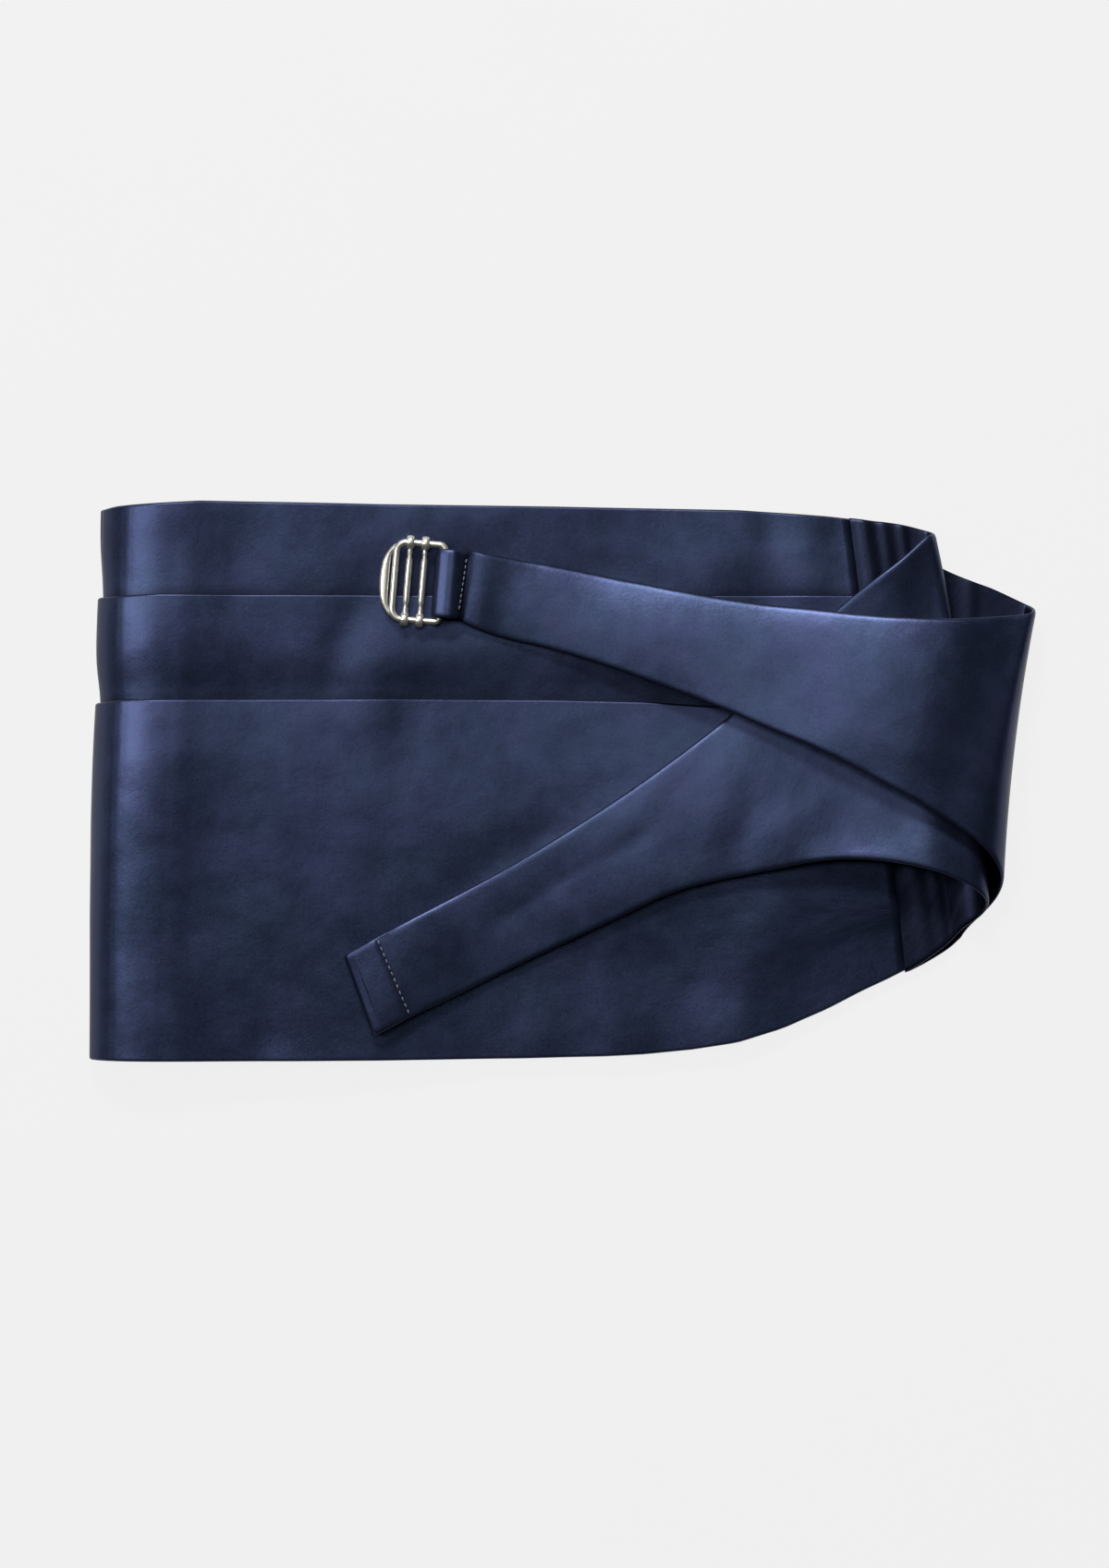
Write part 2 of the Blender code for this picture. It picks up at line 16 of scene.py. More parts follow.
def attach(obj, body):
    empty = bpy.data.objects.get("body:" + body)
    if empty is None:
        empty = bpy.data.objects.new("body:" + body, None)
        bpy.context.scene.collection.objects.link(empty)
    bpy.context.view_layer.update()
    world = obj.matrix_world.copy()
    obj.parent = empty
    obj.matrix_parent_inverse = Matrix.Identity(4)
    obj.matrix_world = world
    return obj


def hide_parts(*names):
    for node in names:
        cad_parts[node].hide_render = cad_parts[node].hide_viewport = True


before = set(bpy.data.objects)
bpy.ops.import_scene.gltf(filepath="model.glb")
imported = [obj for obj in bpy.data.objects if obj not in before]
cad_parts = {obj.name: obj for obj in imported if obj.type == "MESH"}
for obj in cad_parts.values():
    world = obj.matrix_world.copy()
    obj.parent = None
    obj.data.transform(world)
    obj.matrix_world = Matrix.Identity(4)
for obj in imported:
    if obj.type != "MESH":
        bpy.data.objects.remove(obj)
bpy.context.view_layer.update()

MM = 0.001
WALL = 1.1  # cloth with its interlining
AIR = 0.3  # kept between pieces that touch
LIP = 1.0  # thickness of a pleat's folded edge
STEP = LIP + AIR  # how far a pleat's edge stands above the strip that it covers
SLOT = 7.0  # how deep a pleat is open under its edge
EDGE = 0.4  # rounding of a cut edge
ON_TOP = AIR + WALL / 2  # middle of a strap's wall above what it lies on
TURNED = WALL + AIR  # one layer of cloth more, where a strap's end is turned under
BRIDGED = 7.0  # how far above a pleat's edge a strap bridges its step
HEM_FACES = (-0.87, -0.49)  # the way that the plain strap's end points
SEAM_LINE = (68.8, 63.0, 0.1248)  # x of the front's end, the y it is taken at, and how far it leans
FOLD_LINE = (-111.6, 0.0248)  # x of the soft fold at y = 0, and how far it leans
PRESSED_OVER = 12.0  # the pleats go from pressed level to open over this much of the soft fold

# The softboxes: place, size, power and colour, in metres and watts.
LIGHTS = (("key", (-0.20, 0.95, 0.88), (0.44, 0.24), 13.0, (1.0, 1.0, 1.0)),
          ("overhead", (-0.04, 0.25, 1.22), (0.40, 0.34), 0.86, (1.0, 1.0, 1.0)),
          ("left_softbox", (-0.73, 0.18, 1.01), (0.10, 0.6), 4.0, (0.97, 0.98, 1.0)))
AIR_COLOUR = (0.75, 0.8, 0.9)
AIR_STRENGTH = 0.003
FLOOR_GLOW = 0.843
CAMERA_AT = (-0.00178, -0.00067, 1.0)  # metres, straight above the garment
CAMERA_LENS = 95.46

# The satin's colours: its darker and its lighter tone, each in two hues, then the darker tones of painted
# shade along folded edges, at grazing angles and on the straps' inner side.
DARK_TONES = ((0.037, 0.048, 0.111), (0.034, 0.050, 0.106))
LIGHT_TONES = ((0.063, 0.080, 0.176), (0.058, 0.083, 0.170))
EDGE_SHADE_TONE = (0.026, 0.030, 0.066)
GRAZING_SHADE_TONE = (0.021, 0.027, 0.060)
INNER_SHADE_TONE = (0.012, 0.015, 0.036)

# The front's outline along x: its upper and lower edge and its two pleat edges.
UPPER_EDGE = ((-113, 64.6), (-106, 65.6), (-86, 66.8), (-68, 66.6), (-44, 66.2), (-2, 65.8),
              (42, 65.0), (53, 64.3), (64, 63.5), (70, 62.8))
LOWER_EDGE = ((-114, -66.7), (-86, -66.9), (-44, -66.9), (-10, -66.5), (10, -66.0), (20, -65.5),
              (31, -64.4), (42, -62.7), (53, -59.4), (64, -54.7), (73, -50.1), (78, -47.8), (83, -45.3))
FIRST_PLEAT = ((-113, 43.8), (-95, 44.6), (80, 44.6))
SECOND_PLEAT = ((-113, 18.5), (-104, 19.5), (-40, 19.8), (-2, 19.6), (20, 19.1), (38, 17.9),
                (70, 15.5), (80, 14.8))
LINES = {"upper": UPPER_EDGE, "lower": LOWER_EDGE, "first": FIRST_PLEAT, "second": SECOND_PLEAT}

# Round the soft fold: how far a row is from the fold, and how high its outer face is.
FOLD_UNDER = ((190, 0), (24, 0))
FOLD_TURN = ((24, 0), (14, 0), (9.5, 0), (5.4, 0.35), (2.6, 1.2), (0.8, 2.6), (0, 4.4), (0.8, 6.1),
             (2.6, 7.4), (5.5, 8.5), (9, 9.8), (13, 11.0), (18, 11.6), (23, 11.3), (28, 10.5),
             (34, 9.6), (41, 8.9), (49, 8.4), (57, 7.8), (66, 7.0), (76, 6.0), (88, 5.0), (102, 4.35))
FOLD_OVER = ((102, 4.35), (115, 4.2), (190, 4.2))
SEAM_AT = 190.0  # a row's distance at the seam, before it is fitted to the slanting seam
FITTED_FROM = 60.0  # rows nearer the fold than this keep their distance
LEFTMOST = 6  # the row of FOLD_TURN where the upper half begins


def pleat_edge(line):
    """A pleat's edge in the section: the slot behind it, and back over its fold."""
    return ((line, 0.0, 0.0, -STEP), (line, -SLOT, 0.0, -STEP), (line, -SLOT, AIR, AIR - STEP),
            (line, -EDGE, AIR, AIR - STEP), (line, 0.0, AIR + LIP / 2, -LIP / 2), (line, -EDGE, STEP, 0.0))


def pleat_back(line):
    """The inner face behind a pleat's edge."""
    return ((line, -SLOT, -WALL, -WALL - 0.7), (line, 0.0, -WALL, -WALL - STEP),
            (line, 6.0, -WALL, -WALL - 0.8))


# The pleated section, from the upper edge down the outer face and back up the inner one. Each row gives the
# line that it follows, the distance above that line, and how far it lies outside the face: on the upper half,
# and on the lower half, whose pleat edges are pressed level with the table.
SECTION = (
    ("upper", 0.0, -WALL / 2, -WALL / 2),
    ("upper", -EDGE, 0.0, 0.0),
    ("upper", -9.0, 0.0, 0.0),
    ("first", 12.0, 0.0, 0.0),
    ("first", 5.0, 0.0, -0.9),
    *pleat_edge("first"),
    ("first", -4.0, 1.5, 0.0),
    ("first", -11.0, 1.7, 0.0),
    ("first", -17.0, 1.4, -0.1),
    ("second", 4.0, 0.5, -0.9),
    *pleat_edge("second"),
    ("second", -5.0, 1.6, 0.0),
    ("second", -14.0, 1.95, 0.0),
    ("second", -28.0, 2.1, 0.0),
    ("second", -45.0, 1.6, 0.0),
    ("lower", 12.0, 0.45, 0.0),
    ("lower", EDGE, 0.0, 0.0),
    ("lower", 0.0, -WALL / 2, -WALL / 2),
    ("lower", EDGE, -WALL, -WALL),
    ("lower", 12.0, 0.45 - WALL, -WALL),
    ("second", -45.0, 1.6 - WALL, -WALL),
    ("second", -28.0, 2.1 - WALL, -WALL),
    ("second", -14.0, 0.8 - WALL, -WALL),
    *pleat_back("second"),
    ("first", -13.0, -WALL, -WALL),
    *pleat_back("first"),
    ("first", 13.0, -WALL, -WALL),
    ("upper", -EDGE, -WALL, -WALL),
)

# The rows of the section that are seen from above, where one half is open.
FACE = tuple(
    (line, above, out)
    for line, above, out, _ in SECTION[: SECTION.index(("lower", 0.0, -WALL / 2, -WALL / 2))]
    if not (line in ("first", "second") and -SLOT <= above <= 0 and out < STEP)
)

# A strap's rows run across it: its upper edge, its lower edge, how many turned-under layers are below it,
# and how far its middle stands above a straight line between its edges. They run out from the seam, and back
# from the fold to the strap's end.
# Past its fold a strap lies on the front wherever that is higher than the row.
PLAIN_STRAP_OUT = (
    (69.3, 62.7, 3.3, 82.7, -45.5, 3.3),
    (74.6, 62.0, 3.2, 87.5, -42.4, 3.1),
    (79.8, 61.4, 3.0, 92.4, -38.7, 2.9),
    (83.6, 60.7, 2.8, 94.2, -37.0, 2.7),
)
PLAIN_STRAP_BACK = (
    (81.1, 52.7, 10.0, 88.5, -20.9, 14.2, 0, -3.4),
    (74.7, 47.9, 10.2, 80.5, -19.2, 13.0, 0, -3.2),
    (65.0, 40.1, 8.6, 70.7, -18.1, 11.6, 0, -2.0),
    (53.9, 29.1, 7.4, 60.9, -18.6, 10.4, 0, -0.6),
    (42.4, 17.1, 6.7, 50.6, -20.7, 9.6, 0, 0.3),
    (30.3, 7.5, 6.3, 39.0, -23.0, 8.9, 0, 0.6),
    (18.1, -1.4, 5.8, 27.1, -25.9, 8.4, 0, 0.6),
    (3.7, -11.0, 5.6, 13.2, -32.4, 7.9, 0, 0.5),
    (-10.6, -19.8, 5.6, -0.5, -38.8, 7.4, 0, 0.3),
    (-25.0, -27.6, 5.6, -15.0, -45.8, 7.0, 0, 0.2),
    (-36.0, -33.3, 5.6, -26.6, -51.5, 6.6, 1, 0.0),
    (-43.7, -37.4, 5.6, -36.2, -55.9, 6.4, 1, 0.0),
    (-48.1, -39.8, 5.6, -40.8, -58.3, 6.2, 1, 0.0),
    (-50.7, -41.3, 5.6, -43.9, -59.9, 6.0, 1, 0.0),
)
PLAIN_STRAP_UNDER = (
    (-47.0, -39.4, 5.4, -40.2, -57.8, 5.4, 0, 0),
    (-43.0, -37.4, 5.4, -35.9, -55.3, 5.4, 0, 0),
    (-38.6, -35.2, 5.4, -30.6, -52.6, 5.4, 0, 0),
)
BUCKLE_STRAP_OUT = (
    (69.5, 62.8, 0.55, 82.9, -45.6, 0.55),
    (78.2, 58.3, 0.55, 87.7, -43.1, 0.55),
    (87.1, 52.9, 0.55, 92.8, -39.9, 0.55),
    (95.9, 48.7, 0.55, 95.0, -38.0, 0.55),
    (104.4, 45.6, 0.55, 96.2, -36.9, 0.55),
)
BUCKLE_STRAP_BACK = (
    (102.3, 38.7, 11.2, 87.1, -6.0, 16.7, 0, 0.6),
    (92.9, 38.2, 13.1, 79.2, -1.7, 16.6, 0, 0.8),
    (83.0, 38.4, 13.4, 70.6, 2.9, 15.7, 0, 0.8),
    (72.1, 39.1, 11.7, 61.5, 7.6, 14.4, 0, 0.6),
    (60.0, 40.6, 9.6, 51.0, 12.0, 13.0, 0, 0.5),
    (46.8, 41.9, 8.0, 39.4, 17.1, 11.4, 0, 0.5),
    (32.0, 44.3, 7.2, 25.8, 22.3, 10.0, 0, 0.5),
    (15.0, 47.6, 6.8, 10.4, 27.9, 9.0, 0, 0.4),
    (-1.8, 51.0, 6.4, -5.5, 32.6, 7.9, 0, 0.3),
    (-11.0, 52.5, 6.9, -14.6, 34.6, 7.2, 0, 0.2),
    (-18.2, 53.8, 8.4, -20.8, 36.8, 8.4, 1, 0.0),
    (-22.1, 54.7, 9.2, -23.9, 38.3, 9.2, 1, 0.0),
)

# The two strap folds. At the upper and at the lower edge: the turn's middle, its radius, how far it reaches
# to the right and how far along the fold it swings. Then the height that it starts at, how far the fold line
# bows out, and how far the upper face's middle stands above its edges.
PLAIN_TURN = {"upper": (86.8, 58.9, 2.9, 2.0, -0.9), "lower": (95.4, -29.4, 5.0, 6.1, 5.9),
              "start": (2.7, 2.6), "bow": 1.6, "crown": -2.4}
BUCKLE_TURN = {"upper": (110.8, 40.9, 4.4, 2.1, -1.5), "lower": (96.6, -23.9, 7.4, 8.4, 11.7),
               "start": (0.55, 0.55), "bow": -1.2, "crown": 0.4}

# The buckle, about the middle of the bar that its strap is looped round: x to the right, y along the bar.
BAR_AT = (-28.4, 47.0, 10.0)
BUCKLE_TURNED = -4.7  # degrees, seen from above
BUCKLE_TILT = -1.2  # degrees, its free end is the lower
WIRE = 0.8  # radius of the frame's wire
FRAME_WIDTH = 11.6  # from the middle of the looped bar to the middle of the far one
RAIL_AT = 9.2  # how far each rail's middle is from the middle of the bars
LOOP_HALF = 7.85  # half the width of the strap's loop, without its rounded edges
SLIDES_AT = (("slide_bar_inner", -4.8), ("slide_bar_outer", -8.4))
SLIDE_WIRE = 0.75  # radius of a slide bar
RING_INNER = WIRE + AIR  # inner radius of the eyes at its ends
RING_OUTER = 1.75
RING_HALF = 1.0  # half an eye's width along the rail
NEAR_CORNERS = 1.5  # radius of the frame's corners in the loop
FAR_CORNERS = 2.4
TAB_HALF = 0.5  # half the push tab's thickness

# How finely the front is drawn: parts of each step of its fold's table, the gap between its rows by their
# distance from the fold, and how often the rows are smoothed.
FOLD_PARTS = 12
ROW_GAPS = ((0, 0.45), (12, 0.8), (45, 1.2), (90, 2.2))
LINE_SMOOTHINGS = 3

# How the pleated section is rounded. Both gradings give a share of the distance to the nearest tight corner,
# and the least and the most that it may come to.
TIGHT_TURN = 0.35  # radians; a sharper turn is a tight corner
FINE_STEP = 0.1
POINT_GAPS = (0.55, 0.16, 2.4)
ROUNDINGS = (0.4, 0.13, 2.6)

# How finely the straps are drawn: parts of each step of their tables, and rows in a turn and round the hem.
PLAIN_OUT_PARTS = 26
BUCKLE_OUT_PARTS = 22
BACK_PARTS = 10
UNDER_PARTS = 4
TURN_ROWS = 49
HEM_ROWS = 12

# Places across a strap, from a folded edge inwards, and how many more lie between the two edges' own.
EDGE_PLACES = (-0.4, -0.32, -0.15, 0.1, 0.4, 0.8, 1.4)
MIDDLE_PLACES = 17
ROUNDED_WITHIN = 1.3  # an edge's rounding reaches this far in from its nose
CROWN = 0.35  # how far a strap's upper face swells between its edges
SEWN_CLOSE = 0.42  # how much nearer to the front a strap's end is drawn than the solid's
# The darker tone along folded edges is painted shade, which dims the light that they catch.
EDGE_REACH = 0.5  # how far in from a folded edge its darker tone reaches

RUN_OUT_ROWS = 20  # rows before the fold over which the drop and the gathers run out
SETTLING_ROWS = 14  # rows past the fold over which the unevenness comes in
CROWNING_ROWS = 25  # and those over which the crown does
EASINGS = 14  # how often a strap's rows are drawn towards their neighbours
HELD_AT_HEM = 4  # rows before the hem's round end that aren't
HELD_AT_LOOP = 26  # rows before the loop that aren't
FREED_OVER = 16  # rows before those over which it fades

# The satin's slow unevenness: size of a swell, and how high it stands.
SWELLS = ((58.0, 0.7), (27.0, 0.55), (12.0, 0.14))

# Soft ridges and troughs laid in one by one: x, y, half length, half width, degrees turned from upright,
# height.
FRONT_CREASES = ((41.0, -62.0, 13.0, 10.0, 6.0, 1.1), (50.5, -40.0, 14.0, 8.0, 6.0, 0.6),
                 (13.0, -60.0, 11.0, 8.0, -12.0, 0.7), (-9.0, -63.0, 10.0, 7.0, 10.0, 0.4),
                 (-71.0, -60.0, 9.0, 5.0, 6.0, -0.45), (-62.0, -70.0, 8.0, 8.0, 0.0, 0.4),
                 (-75.0, 57.0, 12.0, 5.0, -10.0, -0.22), (58.5, 47.0, 9.0, 6.0, 4.0, 0.8),
                 (50.0, 61.0, 7.0, 4.5, 4.0, -0.5), (67.0, 60.0, 9.0, 4.0, 7.0, -0.5),
                 (34.0, 46.0, 9.0, 8.0, 12.0, 0.5), (-52.0, 34.0, 13.0, 5.5, -24.0, -0.75),
                 (-46.0, 20.0, 9.0, 7.0, 0.0, 0.4), (-37.0, 12.0, 12.0, 5.0, -8.0, -0.3),
                 (-60.0, -14.0, 16.0, 7.0, -8.0, -0.35), (-86.0, -30.0, 40.0, 7.0, 3.0, -0.4),
                 (-12.0, -18.0, 26.0, 6.0, -60.0, -0.7), (14.0, -10.0, 12.0, 9.0, -30.0, 0.5),
                 (-4.0, 52.0, 8.0, 7.0, 10.0, 0.4), (46.0, 41.0, 30.0, 7.0, 81.0, -0.8),
                 (-45.0, 68.0, 70.0, 16.0, 90.0, 1.7), (-64.0, 46.0, 26.0, 9.0, 90.0, 0.35))
PLAIN_CREASES = ((54.0, -12.0, 8.0, 8.0, 12.0, 0.7), (72.0, -18.5, 16.0, 3.6, -86.0, 0.7),
                 (44.0, -12.0, 8.0, 4.0, -20.0, -0.3), (-41.0, -46.0, 12.0, 5.5, 23.0, 0.5),
                 (36.0, 3.0, 8.0, 4.0, 30.0, 0.1), (-2.0, -30.0, 10.0, 3.6, 35.0, 0.2),
                 (-42.5, -60.5, 9.0, 10.0, -64.5, 1.0), (4.0, -11.0, 42.0, 14.0, -57.8, 1.1))
BUCKLE_CREASES = ((92.0, 26.0, 18.0, 9.0, 0.0, 0.7), (99.0, -4.0, 18.0, 8.0, 0.0, -1.1),
                  (70.0, 22.0, 14.0, 6.0, -35.0, 0.2), (60.0, 8.0, 9.0, 6.0, 20.0, 0.4),
                  (16.0, 37.0, 9.0, 5.0, 24.0, 0.15), (-8.0, 42.0, 8.0, 5.0, 12.0, 0.25),
                  (48.0, 43.5, 42.0, 18.0, 81.5, 1.5))

# How much fuller the soft fold is than the solid's: distance from its end, and height.
FULLER_FOLD = ((0, 0.0), (1, 0.25), (3, 1.05), (5, 1.7), (7, 1.9), (9, 1.75), (13, 1.05), (18, 0.35),
               (24, 0.0))

# How far the lower part of the front sinks towards its seam: x, and depth.
SEAM_DROP = ((45, 0.0), (56, 0.5), (66, 1.0), (75, 1.3), (84, 1.35))
SINKS_BELOW = -10.0  # the height where the lower part begins
SINKS_OVER = 32.0  # and how far below that it sinks in full
DROP_REACH = 9.0  # how far past the seam a strap sinks with the front
OUT_LOWEST = 1.95  # how near to the table a strap that lies on another can sink

# Gathers past each seam: distance from the seam at the upper and at the lower edge, height, width.
PLAIN_GATHERS = ((3.2, 5.8, 0.65, 1.8), (8.0, 9.9, 0.34, 1.2), (12.6, 13.8, 0.38, 1.3))
BUCKLE_GATHERS = ((6.0, 6.0, 0.35, 1.6), (12.0, 10.0, 0.40, 1.6), (20.0, 13.0, 0.42, 1.8),
                  (27.5, 15.0, 0.42, 1.2), (31.9, 16.5, 0.34, 0.9), (35.2, 18.0, 0.36, 0.9))
LOWER_CALM = 0.6  # how much lower the gathers are at the straps' lower edges

# Rows of stitches: two ends, and how many stitches. The dents along them: depth and width of the one that the
# row lies in, and of a softer one beside it.
HEM_STITCHES = ((-43.9, -37.6), (-36.3, -55.6), 12)
HEM_DENT = (0.34, 0.8, 0.6, 2.0)
LOOP_STITCHES = ((-22.7, 53.0), (-24.5, 40.6), 9)
LOOP_DENT = (0.2, 0.5, 0.0, 2.0)
STITCH_WOBBLE = 0.15  # radians

# Half of each bar that is drawn along y. The push tab: y, its outer and its inner edge. A slide bar: y, and
# how its width and thickness compare with its wire's. A stitch: y, z and its radius.
TAB_STATIONS = ((8.6, -12.1, -10.9), (8.3, -12.5, -10.9), (7.6, -13.1, -11.4), (6.8, -13.6, -12.4),
                (5.6, -14.3, -12.75), (4.2, -14.75, -12.82), (2.2, -15.0, -12.85), (0.0, -15.1, -12.85))
SLIDE_STATIONS = ((7.85, 0.85, 0.85), (6.6, 0.85, 0.85), (6.2, 0.72, 0.74), (5.7, 0.70, 0.72),
                  (5.2, 0.98, 0.95), (4.6, 1.05, 1.0))
STITCH_STATIONS = ((-0.58, -0.16, 0.06), (-0.46, -0.02, 0.13), (-0.22, 0.08, 0.17), (0.0, 0.11, 0.18))


def at(table, x):
    """The height of a line at x."""
    return np.interp(x, [row[0] for row in table], [row[1] for row in table])


def smooth(share):
    share = np.clip(share, 0.0, 1.0)
    return share * share * (3 - 2 * share)


def swell(x, y):
    """The slow unevenness of the satin at a place, in millimetres."""
    high = 0.0
    for size, height in SWELLS:
        high += height * noise.noise(Vector((x / size + 3.1, y / size - 1.7, size)))
    return high


def creased(x, y, creases):
    """How high the listed ridges and troughs stand at a place, in millimetres."""
    high = 0.0
    for place_x, place_y, long, wide, turned, height in creases:
        angle = math.radians(turned)
        along = (y - place_y) * math.cos(angle) - (x - place_x) * math.sin(angle)
        off = (x - place_x) * math.cos(angle) + (y - place_y) * math.sin(angle)
        high += height * math.exp(-((along / long) ** 2) - (off / wide) ** 2)
    return high


def curve_through(points, parts):
    """Points on a smooth line through these, with this many parts between each two."""
    points = np.array(points, float)
    gaps = np.linalg.norm(np.diff(points, axis=0), axis=1)
    slopes = np.diff(points, axis=0) / gaps[:, None]
    tangents = np.empty_like(points)
    tangents[0] = slopes[0]
    tangents[-1] = slopes[-1]
    weight = (gaps[:-1] / (gaps[:-1] + gaps[1:]))[:, None]
    tangents[1:-1] = slopes[:-1] * (1 - weight) + slopes[1:] * weight
    made = [points[0]]
    for i, gap in enumerate(gaps):
        for k in range(1, parts + 1):
            t = k / parts
            left = (2 * t**3 - 3 * t**2 + 1) * points[i] + (t**3 - 2 * t**2 + t) * gap * tangents[i]
            right = (3 * t**2 - 2 * t**3) * points[i + 1] + (t**3 - t**2) * gap * tangents[i + 1]
            made.append(left + right)
    return np.array(made)


def graded(distance, grading):
    """A share of a distance, with a least and a most."""
    share, least, most = grading
    return np.clip(distance * share, least, most)


def lowness(y):
    """0 on the upper part of the band, where nothing sinks towards the seam, and 1 well below that."""
    return np.clip((SINKS_BELOW - y) / SINKS_OVER, 0, 1)


def lengths_along(points):
    gaps = np.linalg.norm(np.diff(points, axis=0), axis=1)
    return np.concatenate([[0.0], np.cumsum(gaps)])


def linked(name, data):
    """An object with this data, in the scene."""
    obj = bpy.data.objects.new(name, data)
    bpy.context.scene.collection.objects.link(obj)
    return obj


def cloth_object(name, loops, along, across, edges, caps, inner_side=None):
    """A closed shell over these loops of points, with a UV map in millimetres of cloth.

    along gives each loop's place along the cloth, across each point's place round its own loop, and edges how
    near each point is to a folded edge, where the material paints shade.
    inner_side is 1 on the side that a strap folds inwards, which the material also darkens as painted shade.
    """
    rows, count = loops.shape[:2]
    points = loops.reshape(-1, 3) * MM
    faces = []
    corners = []
    for i in range(rows - 1):
        for j in range(count):
            k = (j + 1) % count
            faces.append((i * count + j, i * count + k, (i + 1) * count + k, (i + 1) * count + j))
            corners += [(along[i], across[i, j]), (along[i], across[i, j + 1]),
                        (along[i + 1], across[i + 1, j + 1]), (along[i + 1], across[i + 1, j])]
    for first, loop in ((0, 0), ((rows - 1) * count, rows - 1)):
        for face in caps:
            faces.append(tuple(first + j for j in face))
            corners += [(along[loop], across[loop, j]) for j in face]
    mesh = bpy.data.meshes.new(name)
    mesh.from_pydata(points.tolist(), [], faces)
    cloth = mesh.uv_layers.new(name="cloth")
    cloth.data.foreach_set("uv", np.array(corners, np.float32).ravel())
    near = mesh.attributes.new("edge", "FLOAT", "POINT")
    near.data.foreach_set("value", np.asarray(edges, np.float32).ravel())
    inner_shade_mask = mesh.attributes.new("inner_side", "FLOAT", "POINT")
    if inner_side is not None:
        inner_shade_mask.data.foreach_set("value", np.asarray(inner_side, np.float32).ravel())
    body = bmesh.new()
    body.from_mesh(mesh)
    bmesh.ops.recalc_face_normals(body, faces=body.faces)
    body.to_mesh(mesh)
    body.free()
    mesh.shade_smooth()
    return linked(name, mesh)


def seam_x(y):
    """Where the front ends and a strap begins."""
    x, taken_at, lean = SEAM_LINE
    return x + (taken_at - y) * lean


def fold_x(y):
    """The left end of the folded front."""
    return FOLD_LINE[0] + FOLD_LINE[1] * y


def row_x(distance, y):
    """x of a row of the front at height y."""
    share = np.maximum(distance - FITTED_FROM, 0) / (SEAM_AT - FITTED_FROM)
    fitted = FITTED_FROM + share * (seam_x(y) - fold_x(y) - FITTED_FROM)
    return fold_x(y) + np.where(distance <= FITTED_FROM, distance, fitted)


def front_line():
    """The front's outer face, seen along its pleats, and each row's place along it."""
    turn = curve_through(FOLD_TURN, FOLD_PARTS)
    turn[:, 1] = np.maximum(turn[:, 1], 0)
    line = np.vstack([FOLD_UNDER[:-1], turn, FOLD_OVER[1:]]).astype(float)
    run = lengths_along(line)
    turned = run[np.argmin(line[:, 0])]
    places = [0.0]
    while places[-1] < run[-1]:
        away = abs(places[-1] - turned)
        places.append(places[-1] + at(ROW_GAPS, away))
    places = np.array(places) * run[-1] / places[-1]
    finer = np.column_stack([np.interp(places, run, line[:, 0]), np.interp(places, run, line[:, 1])])
    for _ in range(LINE_SMOOTHINGS):
        finer[1:-1] = finer[1:-1] / 2 + (finer[:-2] + finer[2:]) / 4
    return finer, places


def section_shape():
    """The pleated section half way along the upper half: height up the band, and distance out."""
    return np.array([(at(LINES[line], 0.0) + above, out) for line, above, out, _ in SECTION])


def section_weights():
    """How each point of the finer section is mixed from the table's rows, which rounds every corner, and each
    point's place round the section.
    """
    shape = section_shape()
    steps = np.roll(shape, -1, axis=0) - shape
    gaps = np.linalg.norm(steps, axis=1)
    ends = np.concatenate([[0], np.cumsum(gaps)])
    heading = np.arctan2(steps[:, 1], steps[:, 0])
    turning = np.abs((heading - np.roll(heading, 1) + math.pi) % (2 * math.pi) - math.pi)
    tight = ends[:-1][turning > TIGHT_TURN]
    fine = np.arange(0, ends[-1], FINE_STEP)
    piece = np.searchsorted(ends, fine, side="right") - 1
    share = (fine - ends[piece]) / gaps[piece]
    linear = np.zeros((len(fine), len(shape)))
    linear[np.arange(len(fine)), piece] += 1 - share
    linear[np.arange(len(fine)), (piece + 1) % len(shape)] += share

    def apart(a, b):
        between = np.abs(a - b)
        return np.minimum(between, ends[-1] - between)

    places = []
    place = 0.0
    while place < ends[-1] - FINE_STEP:
        places.append(place)
        place += graded(apart(place, tight).min(), POINT_GAPS)
    weights = []
    for place in places:
        radius = graded(apart(place, tight).min(), ROUNDINGS)
        near = np.exp(-0.5 * (apart(fine, place) / radius) ** 2)
        weights.append(near / near.sum() @ linear)
    return np.array(weights), np.array([*places, ends[-1]])


